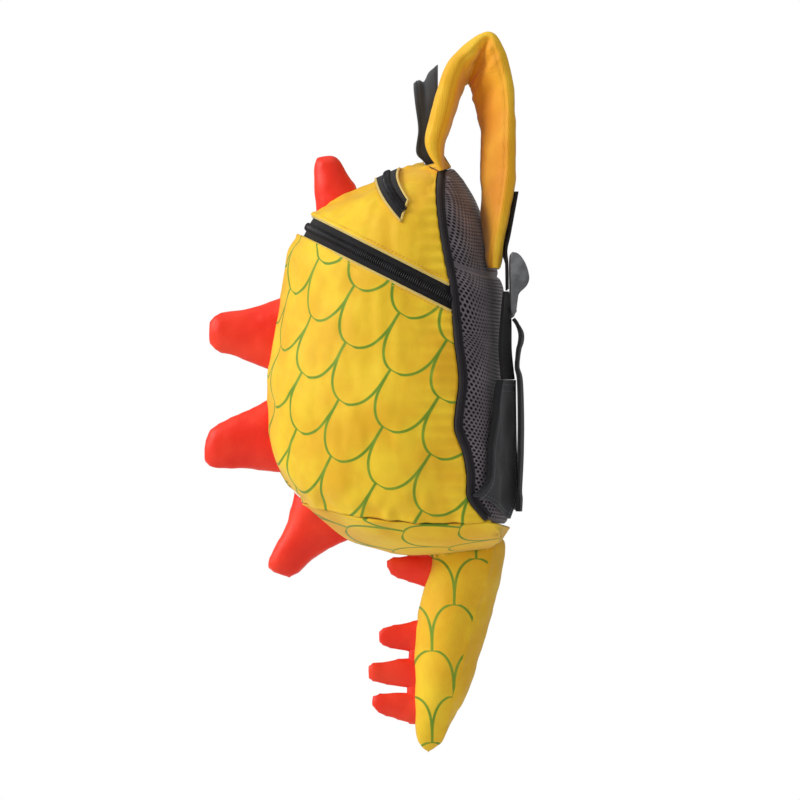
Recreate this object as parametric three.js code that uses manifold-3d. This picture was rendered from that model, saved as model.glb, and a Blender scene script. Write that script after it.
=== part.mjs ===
// Child's animal backpack with stuffed spikes and a stuffed tail, in millimetres, +Z up.
// The front with its spikes faces -Y, the mesh back faces +Y, the wearer's right side is +X.
// The origin is the point under the top of the two shoulder straps where the bag hangs.
import * as THREE from 'three';
import { mergeVertices } from 'three/addons/utils/BufferGeometryUtils.js';
import Module from 'manifold-3d';

const wasm = await Module();
wasm.setup();

// Bag body
const bodyWidth = 238;
const bodyDepth = 182;
const bodyHeight = 290;
const backPlaneY = 18;
const strapRise = 90;
const frontRoundness = 2.4;
const backRoundness = 2.2;
const clothWall = 2;
const baseWall = 2.4;
const padWall = 10;
const padEdgeDrop = 3;
const seamHalf = 2.6;
const pipingRadius = 1.5;
const seatGap = 0.3;
const quiltSag = 0.75;
const padTopRow = 0.05;
const ringSides = 40;

// Zips
const zipTapeWall = 1.4;
const zipCoilWidth = 6;
const zipCoilHeight = 1.6;
const topZipWidth = 15;
const topZipReach = 0.76;
const topZipRow = 1.55;
const topZipBend = 1.35;
const sliderLength = 12;
const sliderWidth = 9;
const sliderHeight = 4;
const pullLength = 24;
const pullWidth = 7;
const pullWall = 1.6;

// Straps and webbing
const strapThickness = 14.5;
const webbingWidth = 25;
const webbingWall = 1.6;
const lockWidth = 32;
const lockSlotHeight = 6;
const haulLoopRise = 75;
const haulLoopWidth = 17;
const haulLoopHalfSpan = 13;

// Stuffed spikes and tail
const spikeHalfThickness = 17;
const tipRounding = 0.82;
const tailHalfThickness = 38;
const tailLength = 145;
const tailDepth = 58;
const finHalfThickness = 10;

// Body sections from the top ridge to the base. Each one runs from the front centre over the
// side seam to the back centre. Forward places are shares of the depth measured from the back
// plane, down places are shares of the height from the top, half and dip are shares of the
// width and the height.
const bodySections = [
  { name: 'ridge', front: [0.359, -0.004], seam: [0.289, 0.018], back: [0.236, 0.002], half: 0.176, dip: 0 },
  { name: 'crown', front: [0.449, 0.01], seam: [0.297, 0.054], back: [0.192, 0.049], half: 0.286, dip: 0 },
  { name: 'pocket', front: [0.565, 0.042], seam: [0.297, 0.103], back: [0.144, 0.1], half: 0.361, dip: 0 },
  { name: 'slope', front: [0.664, 0.069], seam: [0.284, 0.176], back: [0.099, 0.166], half: 0.408, dip: 0 },
  { name: 'quilt', front: [0.746, 0.103], seam: [0.264, 0.251], back: [0.074, 0.23], half: 0.437, dip: 0 },
  { name: 'zipTop', front: [0.816, 0.135], seam: [0.243, 0.318], back: [0.034, 0.305], half: 0.458, dip: 0 },
  { name: 'zipBottom', front: [0.861, 0.185], seam: [0.235, 0.383], back: [0.033, 0.38], half: 0.471, dip: 0 },
  { name: 'shoulder', front: [0.91, 0.228], seam: [0.229, 0.425], back: [0.031, 0.423], half: 0.479, dip: 0 },
  { name: 'chest', front: [0.93, 0.308], seam: [0.223, 0.466], back: [0.029, 0.466], half: 0.487, dip: 0 },
  { name: 'middle', front: [0.967, 0.435], seam: [0.206, 0.556], back: [0.025, 0.556], half: 0.496, dip: 0 },
  { name: 'belly', front: [0.995, 0.53], seam: [0.218, 0.629], back: [0.021, 0.629], half: 0.5, dip: 0 },
  { name: 'widest', front: [1, 0.621], seam: [0.223, 0.685], back: [0.012, 0.691], half: 0.5, dip: 0 },
  { name: 'low', front: [0.993, 0.698], seam: [0.19, 0.742], back: [0.008, 0.75], half: 0.492, dip: 0 },
  { name: 'fold', front: [0.965, 0.779], seam: [0.173, 0.804], back: [0, 0.815], half: 0.475, dip: 0.004 },
  { name: 'heel', front: [0.919, 0.833], seam: [0.169, 0.861], back: [0, 0.874], half: 0.454, dip: 0.013 },
  { name: 'base', front: [0.861, 0.872], seam: [0.099, 0.918], back: [0.012, 0.934], half: 0.424, dip: 0.026 },
  { name: 'turn', front: [0.767, 0.923], seam: [0.058, 0.949], back: [0.033, 0.96], half: 0.361, dip: 0.031 },
  { name: 'under', front: [0.651, 0.976], seam: [0.054, 0.973], back: [0.049, 0.975], half: 0.252, dip: 0.021 },
  { name: 'floor', front: [0.5, 1.002], seam: [0.12, 0.997], back: [0.09, 0.996], half: 0.118, dip: 0.008 },
];

// Right shoulder strap from its root in the top seam over the hang point to its lower end.
// Back places are shares of the way from the top seam to the back plane, drop is a share of
// strapRise below the strap's top, x is in shares of bodyWidth and thick a share of strapThickness.
const strapSections = [
  { outer: [0.235, 0.001, 1.017], inner: [0.1, 0.016, 1.006], thick: 0.35 },
  { outer: [0.241, -0.118, 0.83], inner: [0.098, -0.038, 0.803], thick: 0.95 },
  { outer: [0.25, -0.03, 0.623], inner: [0.098, 0.026, 0.667], thick: 1.1 },
  { outer: [0.259, 0.048, 0.449], inner: [0.099, 0.108, 0.547], thick: 1.1 },
  { outer: [0.268, 0.125, 0.291], inner: [0.101, 0.187, 0.449], thick: 1 },
  { outer: [0.276, 0.247, 0.165], inner: [0.104, 0.251, 0.397], thick: 0.95 },
  { outer: [0.283, 0.423, 0.078], inner: [0.107, 0.301, 0.363], thick: 0.95 },
  { outer: [0.289, 0.592, 0.014], inner: [0.11, 0.344, 0.344], thick: 0.95 },
  { outer: [0.293, 0.689, -0.004], inner: [0.113, 0.379, 0.348], thick: 0.95 },
  { outer: [0.297, 0.774, 0.029], inner: [0.116, 0.415, 0.37], thick: 0.95 },
  { outer: [0.302, 0.866, 0.135], inner: [0.119, 0.465, 0.419], thick: 1 },
  { outer: [0.308, 0.945, 0.288], inner: [0.123, 0.523, 0.502], thick: 1 },
  { outer: [0.316, 0.994, 0.475], inner: [0.128, 0.58, 0.607], thick: 1 },
  { outer: [0.33, 1.002, 0.78], inner: [0.138, 0.629, 0.803], thick: 1 },
  { outer: [0.343, 0.982, 1.081], inner: [0.148, 0.64, 1.081], thick: 1 },
  { outer: [0.355, 0.893, 1.352], inner: [0.162, 0.643, 1.345], thick: 0.95 },
  { outer: [0.364, 0.791, 1.608], inner: [0.18, 0.686, 1.593], thick: 0.9 },
  { outer: [0.368, 0.764, 1.743], inner: [0.19, 0.714, 1.736], thick: 0.55 },
];

// Webbing routes on the right side, same shares as the strap: back, drop, and x of the middle;
// twist is in degrees about the upright.
const strapWebbingEnd = [
  { x: 0.325, back: 0.94, drop: 1.713 },
  { x: 0.328, back: 0.941, drop: 1.871 },
];
const tabTwist = -23;
const lowerWebbingRoute = [
  { x: 0.332, back: 0.905, drop: 1.916, twist: -8 },
  { x: 0.342, back: 0.905, drop: 2.135, twist: -18 },
  { x: 0.352, back: 0.897, drop: 2.36, twist: -22 },
];
const lockMiddle = 0.328;
const lockProfile = [
  { back: 0.985, drop: 1.653 },
  { back: 1.042, drop: 1.627 },
  { back: 1.114, drop: 1.646 },
  { back: 1.185, drop: 1.698 },
  { back: 1.232, drop: 1.762 },
  { back: 1.248, drop: 1.826 },
  { back: 1.206, drop: 1.879 },
  { back: 1.107, drop: 1.932 },
  { back: 1.085, drop: 1.984 },
  { back: 1.064, drop: 2.059 },
  { back: 1.021, drop: 2.108 },
  { back: 0.992, drop: 2.044 },
  { back: 0.985, drop: 1.879 },
];
const lockSlots = [
  { back: 1.085, drop: 1.706 },
  { back: 1.114, drop: 1.811 },
  { back: 1.028, drop: 1.969 },
];
const webbingTailRoute = [
  { x: 0.33, back: 1.02, drop: 2.121 },
  { x: 0.331, back: 1.071, drop: 2.157 },
  { x: 0.332, back: 1.128, drop: 2.222 },
  { x: 0.333, back: 1.128, drop: 2.285 },
  { x: 0.334, back: 1.099, drop: 2.338 },
  { x: 0.335, back: 1.082, drop: 2.406 },
  { x: 0.336, back: 1.074, drop: 2.481 },
  { x: 0.337, back: 1.114, drop: 2.586 },
  { x: 0.339, back: 1.128, drop: 2.887 },
  { x: 0.341, back: 1.121, drop: 3.15 },
  { x: 0.343, back: 1.099, drop: 3.414 },
  { x: 0.344, back: 1.088, drop: 3.549 },
];

// Charcoal tab from the lower webbing down to the side seam. Its outer and inner edges are shares
// of bodyWidth, of the depth in front of the back plane and of the height below the top.
const lowerTabSections = [
  { name: 'webbing', outer: [0.41, 0.0453, 0.556], inner: [0.315, -0.0082, 0.556] },
  { name: 'waist', outer: [0.428, 0.0783, 0.6853], inner: [0.32, -0.0111, 0.7112] },
  { name: 'flare', outer: [0.445, 0.1071, 0.8069], inner: [0.325, -0.0111, 0.8405] },
  { name: 'hem', outer: [0.462, 0.1628, 0.8534], inner: [0.33, 0.0165, 0.9129] },
];

// Haul loop from one root to its top; front is how far the front edge lies before the back edge.
const haulLoopSections = [
  { span: 1, rise: -0.04, back: 0, width: 0.35, tilt: 0 },
  { span: 1.04, rise: 0.1, back: -0.03, width: 0.62, tilt: 0 },
  { span: 1.06, rise: 0.2, back: -0.03, width: 0.96, tilt: 0 },
  { span: 1.08, rise: 0.45, back: -0.03, width: 0.87, tilt: 0.02 },
  { span: 1.02, rise: 0.74, back: -0.03, width: 1, tilt: 0.07 },
  { span: 0.62, rise: 0.97, back: -0.03, width: 1.07, tilt: 0.15 },
  { span: 0, rise: 1.05, back: -0.029, width: 1.08, tilt: 0.19 },
];

// Stuffed spikes on the front, each between two places on the body's front line. Base and tip
// places are shares of depth in front of the back plane and shares of height below the top.
const frontSpikes = [
  { top: [0.63, 0.062], bottom: [0.808, 0.127], tipTop: [0.716, -0.03], tipBottom: [0.822, -0.027], bow: 0.02 },
  { top: [0.925, 0.334], bottom: [0.99, 0.54], tipTop: [1.25, 0.38], tipBottom: [1.25, 0.484], bow: 0.04 },
  { top: [1.0, 0.6], bottom: [0.955, 0.8], tipTop: [1.272, 0.684], tipBottom: [1.275, 0.79], bow: 0.02 },
  { top: [0.91, 0.845], bottom: [0.645, 0.97], tipTop: [1.035, 1.04], tipBottom: [0.895, 1.08], bow: 0.08 },
];

// Tail sections from its root under the base: front and back edges as shares of tailDepth
// behind the front of the root and of tailLength below it, half as a share of tailHalfThickness.
const tailSections = [
  { front: [0.027, -0.099], back: [0.894, -0.151], half: 0.9 },
  { front: [0.001, -0.017], back: [0.952, -0.099], half: 0.98 },
  { front: [-0.076, 0.077], back: [0.919, 0.014], half: 1 },
  { front: [-0.134, 0.164], back: [0.861, 0.139], half: 0.99 },
  { front: [-0.16, 0.247], back: [0.797, 0.247], half: 0.95 },
  { front: [-0.18, 0.33], back: [0.738, 0.335], half: 0.9 },
  { front: [-0.193, 0.418], back: [0.667, 0.439], half: 0.83 },
  { front: [-0.206, 0.516], back: [0.583, 0.542], half: 0.74 },
  { front: [-0.225, 0.62], back: [0.46, 0.666], half: 0.62 },
  { front: [-0.238, 0.723], back: [0.344, 0.775], half: 0.5 },
  { front: [-0.244, 0.821], back: [0.241, 0.863], half: 0.37 },
  { front: [-0.219, 0.904], back: [0.137, 0.927], half: 0.24 },
  { front: [-0.154, 0.951], back: [0.047, 0.966], half: 0.14 },
  { front: [-0.083, 0.977], back: [-0.005, 0.984], half: 0.06 },
];

// Spikes on the tail's front edge, in the same shares as the tail.
const tailSpike = {
  top: [0.118, -0.084], bottom: [-0.012, 0.128], tipTop: [-0.594, -0.048], tipBottom: [-0.568, 0.061], bow: 0.02,
};
const tailFingers = [
  { top: [0.02, 0.268], bottom: [0.02, 0.472], tipTop: [-0.71, 0.318], tipBottom: [-0.697, 0.428], bow: -0.02 },
  { top: [0.02, 0.464], bottom: [0.02, 0.661], tipTop: [-0.865, 0.494], tipBottom: [-0.839, 0.614], bow: -0.02 },
  { top: [0.02, 0.653], bottom: [0.02, 0.85], tipTop: [-0.8, 0.649], tipBottom: [-0.787, 0.765], bow: -0.02 },
];
const finStrip = {
  top: [0.02, 0.278], bottom: [0.02, 0.842], tipTop: [-0.3, 0.298], tipBottom: [-0.36, 0.826], bow: 0,
};
const tailRoot = [0.33, 1.035];

const group = new THREE.Group();
const yellow = { color: 0xf2c230, roughness: 0.62, metalness: 0 };
const orange = { color: 0xff3a1a, roughness: 0.55, metalness: 0 };
const padGrey = { color: 0x6a6268, roughness: 0.85, metalness: 0 };
const charcoal = { color: 0x34363a, roughness: 0.8, metalness: 0 };
const zipBlack = { color: 0x141216, roughness: 0.6, metalness: 0 };
const bucklePlastic = { color: 0x707074, roughness: 0.4, metalness: 0 };

function addPiece(name, geometry, finish) {
  const mesh = new THREE.Mesh(geometry, new THREE.MeshStandardMaterial(finish));
  mesh.name = name;
  group.add(mesh);
}

// Places
function bodyPoint(place, x = 0) {
  return new THREE.Vector3(x, backPlaneY - place[0] * bodyDepth, -strapRise - place[1] * bodyHeight);
}

const topSeam = bodyPoint(bodySections[0].seam);
const strapTop = strapThickness / 2;

function strapPoint(place) {
  const y = topSeam.y + place[1] * (backPlaneY - topSeam.y);
  return new THREE.Vector3(place[0] * bodyWidth, y, strapTop - place[2] * (strapTop - topSeam.z) / 1.02);
}

function tailPoint(place) {
  const root = bodyPoint(tailRoot);
  return new THREE.Vector3(0, root.y + place[0] * tailDepth, root.z - place[1] * tailLength);
}

// Section of the body at a row number, which may lie between two rows of the table
function smooth(list, at) {
  const last = list.length - 1;
  const low = Math.min(Math.max(Math.floor(at), 0), last - 1);
  const share = at - low;
  const before = list[Math.max(low - 1, 0)];
  const after = list[Math.min(low + 2, last)];
  const slopeLow = (list[low + 1] - before) / 2;
  const slopeHigh = (after - list[low]) / 2;
  const cube = share ** 3;
  const square = share ** 2;
  const startPart = (2 * cube - 3 * square + 1) * list[low] + (cube - 2 * square + share) * slopeLow;
  const endPart = (3 * square - 2 * cube) * list[low + 1] + (cube - square) * slopeHigh;
  return startPart + endPart;
}

const sectionColumns = {
  frontY: bodySections.map((row) => row.front[0]),
  frontZ: bodySections.map((row) => row.front[1]),
  seamY: bodySections.map((row) => row.seam[0]),
  seamZ: bodySections.map((row) => row.seam[1]),
  backY: bodySections.map((row) => row.back[0]),
  backZ: bodySections.map((row) => row.back[1]),
  half: bodySections.map((row) => row.half),
  dip: bodySections.map((row) => row.dip),
};
const rowOf = Object.fromEntries(bodySections.map((row, index) => [row.name, index]));

function sectionAt(row) {
  const value = (name) => smooth(sectionColumns[name], row);
  return {
    front: bodyPoint([value('frontY'), value('frontZ')]),
    seam: bodyPoint([value('seamY'), value('seamZ')]),
    back: bodyPoint([value('backY'), value('backZ')]),
    half: value('half') * bodyWidth,
    dip: value('dip') * bodyHeight,
  };
}

// One place on the body: turn 0 is the front centre, a quarter turn is the right side seam,
// half a turn is the back centre
function bodySurface(row, turn) {
  const section = sectionAt(row);
  const isFront = Math.cos(turn) >= 0;
  const power = 2 / (isFront ? frontRoundness : backRoundness);
  const along = Math.abs(Math.cos(turn)) ** power;
  const across = Math.sign(Math.sin(turn)) * Math.abs(Math.sin(turn)) ** power;
  const point = section.seam.clone().lerp(isFront ? section.front : section.back, along);
  point.x = section.half * across;
  if (isFront) {
    point.z -= section.dip * 4 * along * (1 - along);
  }
  return point;
}

const bodyMiddle = bodyPoint([0.5, 0.55]);

function outwardNormal(row, turn) {
  const step = 0.03;
  const alongRow = bodySurface(row + step, turn).sub(bodySurface(row - step, turn));
  const alongTurn = bodySurface(row, turn + step).sub(bodySurface(row, turn - step));
  const normal = alongRow.cross(alongTurn).normalize();
  const outward = bodySurface(row, turn).sub(bodyMiddle);
  return normal.dot(outward) < 0 ? normal.negate() : normal;
}

function offsetPoint(row, turn, height) {
  return bodySurface(row, turn).addScaledVector(outwardNormal(row, turn), height);
}

// Turn at which the front or back of a section comes within one seam half of the side seam
function seamTurn(row, side) {
  const section = sectionAt(row);
  const end = side === 'front' ? section.front : section.back;
  const roundness = side === 'front' ? frontRoundness : backRoundness;
  const reach = Math.max(section.seam.distanceTo(end), 4 * seamHalf);
  return Math.acos((seamHalf / reach) ** (roundness / 2));
}

// Closed meshes from grids and rings
function geometryFrom(points, faces) {
  const geometry = new THREE.BufferGeometry();
  const places = points.flatMap((p) => [p.x, p.y, p.z]);
  geometry.setAttribute('position', new THREE.Float32BufferAttribute(places, 3));
  geometry.setIndex(faces.filter(([a, b, c]) => a !== b && b !== c && a !== c).flat());
  return geometry;
}

function signedVolume(points, faces) {
  let volume = 0;
  for (const [a, b, c] of faces) {
    volume += points[a].dot(points[b].clone().cross(points[c]));
  }
  return volume;
}

function closedGeometry(points, faces) {
  const outward = signedVolume(points, faces) > 0;
  return geometryFrom(points, outward ? faces : faces.map(([a, b, c]) => [a, c, b]));
}

// Wall between an outer and an inner sheet; both are functions of two shares from 0 to 1
function wall(outerSheet, innerSheet, rows, columns) {
  const points = [];
  const faces = [];
  const index = (sheet, i, j) => (sheet * (rows + 1) + i) * (columns + 1) + j;
  for (const sheet of [outerSheet, innerSheet]) {
    for (let i = 0; i <= rows; i += 1) {
      for (let j = 0; j <= columns; j += 1) {
        points.push(sheet(i / rows, j / columns));
      }
    }
  }
  const quad = (a, b, c, d) => faces.push([a, b, c], [a, c, d]);
  for (let i = 0; i < rows; i += 1) {
    for (let j = 0; j < columns; j += 1) {
      quad(index(0, i, j), index(0, i, j + 1), index(0, i + 1, j + 1), index(0, i + 1, j));
      quad(index(1, i, j), index(1, i + 1, j), index(1, i + 1, j + 1), index(1, i, j + 1));
    }
  }
  for (let j = 0; j < columns; j += 1) {
    quad(index(0, 0, j), index(1, 0, j), index(1, 0, j + 1), index(0, 0, j + 1));
    quad(index(0, rows, j), index(0, rows, j + 1), index(1, rows, j + 1), index(1, rows, j));
  }
  for (let i = 0; i < rows; i += 1) {
    quad(index(0, i, 0), index(0, i + 1, 0), index(1, i + 1, 0), index(1, i, 0));
    quad(index(0, i, columns), index(1, i, columns), index(1, i + 1, columns), index(0, i + 1, columns));
  }
  return closedGeometry(points, faces);
}

// Solid through a list of rings with the same number of points, closed by a point at each end
function loft(rings) {
  const count = rings[0].length;
  const points = rings.flat();
  const faces = [];
  for (let i = 0; i < rings.length - 1; i += 1) {
    for (let j = 0; j < count; j += 1) {
      const next = (j + 1) % count;
      const a = i * count + j;
      const b = i * count + next;
      faces.push([a, b, b + count], [a, b + count, a + count]);
    }
  }
  for (const [start, flip] of [[0, true], [(rings.length - 1) * count, false]]) {
    const centre = points.length;
    const ring = points.slice(start, start + count);
    points.push(ring.reduce((sum, p) => sum.add(p), new THREE.Vector3()).divideScalar(count));
    for (let j = 0; j < count; j += 1) {
      const pair = [start + j, start + (j + 1) % count];
      faces.push(flip ? [centre, pair[1], pair[0]] : [centre, pair[0], pair[1]]);
    }
  }
  return closedGeometry(points, faces);
}

// Joins and cuts
function toSolid(geometry) {
  const bare = geometry.clone();
  bare.deleteAttribute('normal');
  bare.deleteAttribute('uv');
  const merged = mergeVertices(bare, 1e-4);
  const vertProperties = new Float32Array(merged.attributes.position.array);
  const triVerts = new Uint32Array(merged.index.array);
  return new wasm.Manifold(new wasm.Mesh({ numProp: 3, vertProperties, triVerts }));
}

function toGeometry(solid) {
  const mesh = solid.getMesh();
  const geometry = new THREE.BufferGeometry();
  const places = Array.from(mesh.vertProperties);
  geometry.setAttribute('position', new THREE.Float32BufferAttribute(places, mesh.numProp));
  geometry.setIndex(Array.from(mesh.triVerts));
  return geometry;
}

function cutBy(geometry, ...cutters) {
  return toGeometry(cutters.reduce((solid, cutter) => solid.subtract(cutter), toSolid(geometry)));
}

// Whole outer form of the body, grown by a gap, for cutting what seats on it
function bodyRing(row, height, sides) {
  return Array.from({ length: sides }, (_, j) => offsetPoint(row, 2 * Math.PI * j / sides, height));
}

function bodyForm(gap) {
  const rings = [];
  for (let row = 0; row <= rowOf.floor; row += 0.5) {
    rings.push(bodyRing(row, gap, ringSides));
  }
  return toSolid(loft(rings));
}

const centred = (share) => (share - 0.5) * 2;

function panel(side, rowFrom, rowTo, outerHeight, innerHeight, rows, columns) {
  const place = (height) => (i, j) => {
    const from = typeof rowFrom === 'function' ? rowFrom(centred(j)) : rowFrom;
    const to = typeof rowTo === 'function' ? rowTo(centred(j)) : rowTo;
    const row = from + (to - from) * i;
    const turn = centred(j) * seamTurn(row, side);
    const loopTurn = side === 'front' ? turn : Math.PI - turn;
    return offsetPoint(row, loopTurn, typeof height === 'function' ? height(i, j) : height);
  };
  return wall(place(outerHeight), place(innerHeight), rows, columns);
}

// Body cloth
const zipBand = sectionAt(rowOf.zipTop).front.distanceTo(sectionAt(rowOf.zipBottom).front);
const rowGap = 2 * seatGap / zipBand;

function addBody() {
  addPiece('body_shell', panel('front', rowOf.zipBottom, rowOf.base - rowGap, 0, -clothWall, 14, 24), yellow);
  addPiece('top_panel', panel('front', 0, rowOf.zipTop - rowGap, 0, -clothWall, 9, 24), yellow);
}

// Base: a shallow cup, its outer rings going down and its inner rings coming back up
function addBase() {
  const sides = 28;
  const steps = 6;
  const topRow = rowOf.base + rowGap;
  const outer = [];
  const inner = [];
  for (let i = 0; i <= steps; i += 1) {
    const row = topRow + (rowOf.floor - topRow) * i / steps;
    outer.push(bodyRing(row, 0, sides));
    inner.unshift(bodyRing(row, -baseWall, sides));
  }
  const cup = toSolid(loft(outer)).subtract(toSolid(loft(openedTop(inner))));
  addPiece('base_panel', toGeometry(cup), yellow);
}

// Inner rings with one more above the rim, so that the cut leaves the cup open
function openedTop(rings) {
  const rim = rings[rings.length - 1];
  return [...rings, rim.map((p) => p.clone().setZ(p.z + 8 * baseWall))];
}

// Mesh pads on the back, crowned between their edges; the quilt seam sags to the centre
function quiltRow(across) {
  return rowOf.quilt + quiltSag * (1 - Math.abs(across) ** 3);
}

// 0 on a pad's edge, 1 from a fifth of its width inwards
function edgeShare(i, j) {
  return Math.min(Math.min(i, 1 - i, j, 1 - j) * 5, 1);
}

function addPads() {
  const outer = (i, j) => -padEdgeDrop * (1 - edgeShare(i, j)) ** 2;
  const inner = (i, j) => outer(i, j) - padWall + 2 * padEdgeDrop * (1 - edgeShare(i, j));
  const halfGap = 0.3 * rowGap;
  const upper = panel('back', padTopRow, (across) => quiltRow(across) - halfGap, outer, inner, 6, 16);
  const lower = panel('back', (across) => quiltRow(across) + halfGap, rowOf.base - 3 * rowGap, outer, inner, 12, 16);
  addPiece('back_pad_upper', upper, padGrey);
  addPiece('back_pad_lower', lower, padGrey);
}

// Piping in the seam, one piece from the base on one side over the top to the base on the other
function pipingGeometry(radius) {
  const rightSide = [];
  for (let row = rowOf.base - 0.1; row >= 0.2; row -= 0.45) {
    const section = sectionAt(row);
    rightSide.push(new THREE.Vector3(section.half, section.seam.y, section.seam.z));
  }
  const top = sectionAt(0);
  const leftSide = rightSide.map((p) => new THREE.Vector3(-p.x, p.y, p.z)).reverse();
  const crownHeight = top.seam.z + 2 * pipingRadius;
  const crownPoints = [0.55, 0, -0.55].map((share) => new THREE.Vector3(top.half * share, top.seam.y, crownHeight));
  const route = new THREE.CatmullRomCurve3([...rightSide, ...crownPoints, ...leftSide], false, 'centripetal');
  const shape = new THREE.Shape();
  shape.absarc(0, 0, radius, 0, 2 * Math.PI);
  return new THREE.ExtrudeGeometry(shape, { extrudePath: route, steps: 64, curveSegments: 3, bevelEnabled: false });
}

// Zips: tape, raised coil and a slider on the side away from the visible one
function sliderGeometry(frame) {
  const shape = new THREE.Shape();
  shape.moveTo(-sliderWidth / 2, 0);
  shape.lineTo(sliderWidth / 2, 0);
  shape.lineTo(sliderWidth / 2, sliderHeight);
  shape.lineTo(-sliderWidth / 2, sliderHeight);
  const block = new THREE.ExtrudeGeometry(shape, { depth: sliderLength, bevelEnabled: false });
  block.translate(0, 0, -sliderLength / 2);
  const pull = new THREE.BoxGeometry(pullWidth, pullWall, pullLength);
  pull.translate(0, sliderHeight + pullWall / 4, (sliderHeight - pullLength) / 2);
  const solid = toSolid(block).add(toSolid(pull));
  return toGeometry(solid).applyMatrix4(frame);
}

function surfaceFrame(row, turn, height) {
  const at = offsetPoint(row, turn, height);
  const normal = outwardNormal(row, turn);
  const across = bodySurface(row - 0.05, turn).sub(bodySurface(row + 0.05, turn)).normalize();
  across.addScaledVector(normal, -across.dot(normal)).normalize();
  const along = new THREE.Vector3().crossVectors(across, normal);
  return new THREE.Matrix4().makeBasis(across, normal, along).setPosition(at);
}

function addMainZip() {
  const middle = (rowOf.zipTop + rowOf.zipBottom) / 2;
  const coilHalf = zipCoilWidth / 2 / zipBand;
  const coilBase = seatGap;
  const tape = panel('front', rowOf.zipTop + rowGap, rowOf.zipBottom - rowGap, 0, -zipTapeWall, 1, 40);
  const coil = panel('front', middle - coilHalf, middle + coilHalf, coilBase + zipCoilHeight, coilBase, 1, 40);
  addPiece('main_zip_tape', tape, zipBlack);
  addPiece('main_zip_coil', coil, zipBlack);
  const sliderHeightOver = coilBase + zipCoilHeight + seatGap;
  addPiece('main_zip_slider', sliderGeometry(surfaceFrame(middle, -1.25, sliderHeightOver)), zipBlack);
}

// The top zip lies over the top panel and bends back towards its two ends
function topZipRowAt(turn) {
  const share = turn / (topZipReach * Math.PI / 2);
  return topZipRow + topZipBend * share * share;
}

function topZipSheet(halfWidth, height) {
  const rowStep = sectionAt(rowOf.pocket).front.distanceTo(sectionAt(rowOf.crown).front);
  return (i, j) => {
    const turn = centred(j) * topZipReach * Math.PI / 2;
    return offsetPoint(topZipRowAt(turn) + centred(i) * halfWidth / rowStep, turn, height);
  };
}

function addTopZip() {
  const tapeTop = seatGap + zipTapeWall;
  const coilBase = tapeTop + seatGap;
  const half = topZipWidth / 2;
  addPiece('top_zip_tape', wall(topZipSheet(half, tapeTop), topZipSheet(half, seatGap), 2, 28), zipBlack);
  const coilTop = topZipSheet(zipCoilWidth / 2, coilBase + zipCoilHeight);
  addPiece('top_zip_coil', wall(coilTop, topZipSheet(zipCoilWidth / 2, coilBase), 1, 28), zipBlack);
  const turn = -0.6 * topZipReach * Math.PI / 2;
  const frame = surfaceFrame(topZipRowAt(turn), turn, coilBase + zipCoilHeight + seatGap);
  addPiece('top_zip_slider', sliderGeometry(frame), zipBlack);
}

// Stuffed spike between a root line and a rounded tip, thickest at the root
function spikeLoft(place, spike, halfThickness) {
  const top = place(spike.top);
  const bottom = place(spike.bottom);
  const tipTop = place(spike.tipTop);
  const tipBottom = place(spike.tipBottom);
  const inward = bottom.clone().sub(top).multiplyScalar(spike.bow);
  const sides = 12;
  const rings = [];
  for (const share of [0, 0.2, 0.4, 0.6, 0.78, 0.9, 0.97, 1]) {
    const hollow = 4 * share * (1 - share);
    const upper = top.clone().lerp(tipTop, share).addScaledVector(inward, hollow);
    const lower = bottom.clone().lerp(tipBottom, share).addScaledVector(inward, -hollow);
    const closing = Math.sqrt(Math.max(1 - (Math.max(share - tipRounding, 0) / (1.01 - tipRounding)) ** 2, 0));
    const middle = upper.clone().add(lower).multiplyScalar(0.5);
    const halfSpan = upper.sub(middle).multiplyScalar(0.3 + 0.7 * closing);
    const half = halfThickness * (1 - 0.55 * share) * Math.max(closing, 0.2);
    rings.push(Array.from({ length: sides }, (_, j) => {
      const turn = 2 * Math.PI * j / sides;
      const point = middle.clone().addScaledVector(halfSpan, Math.cos(turn));
      point.x += half * Math.sin(turn);
      return point;
    }));
  }
  return loft(rings);
}

// A spike's root goes this far into what carries it before it is cut to its seat
function deepened(spike, depth) {
  const further = (at, tip) => at + depth * (at - tip);
  const shift = (place, tip) => [further(place[0], tip[0]), further(place[1], tip[1])];
  return { ...spike, top: shift(spike.top, spike.tipTop), bottom: shift(spike.bottom, spike.tipBottom) };
}

function addSpikes(bodySeat) {
  frontSpikes.forEach((spike, index) => {
    const place = (share) => bodyPoint(share);
    const geometry = spikeLoft(place, deepened(spike, 0.12), spikeHalfThickness);
    addPiece(`spike_${index + 1}`, cutBy(geometry, bodySeat), orange);
  });
}

// Stuffed tail and the spikes on its front edge
function tailForm(gap) {
  const sides = 14;
  const rings = tailSections.map((row) => {
    const front = tailPoint(row.front);
    const back = tailPoint(row.back);
    const middle = front.clone().add(back).multiplyScalar(0.5);
    const halfSpan = front.sub(middle);
    halfSpan.setLength(halfSpan.length() + gap);
    return Array.from({ length: sides }, (_, j) => {
      const turn = 2 * Math.PI * j / sides;
      const point = middle.clone().addScaledVector(halfSpan, Math.cos(turn));
      point.x += (row.half * tailHalfThickness + gap) * Math.sin(turn);
      return point;
    });
  });
  return loft(rings);
}

function addTail(bodySeat) {
  addPiece('tail', cutBy(tailForm(0), bodySeat), yellow);
  const tailSeat = toSolid(tailForm(2 * seatGap));
  const loneSpike = spikeLoft(tailPoint, tailSpike, finHalfThickness);
  addPiece('tail_spike', cutBy(loneSpike, bodySeat, tailSeat), orange);
  const fingers = [finStrip, ...tailFingers].map((row) => toSolid(spikeLoft(tailPoint, row, finHalfThickness)));
  const joined = fingers.reduce((sum, finger) => sum.add(finger));
  addPiece('tail_fin', toGeometry(joined.subtract(tailSeat)), orange);
}

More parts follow.
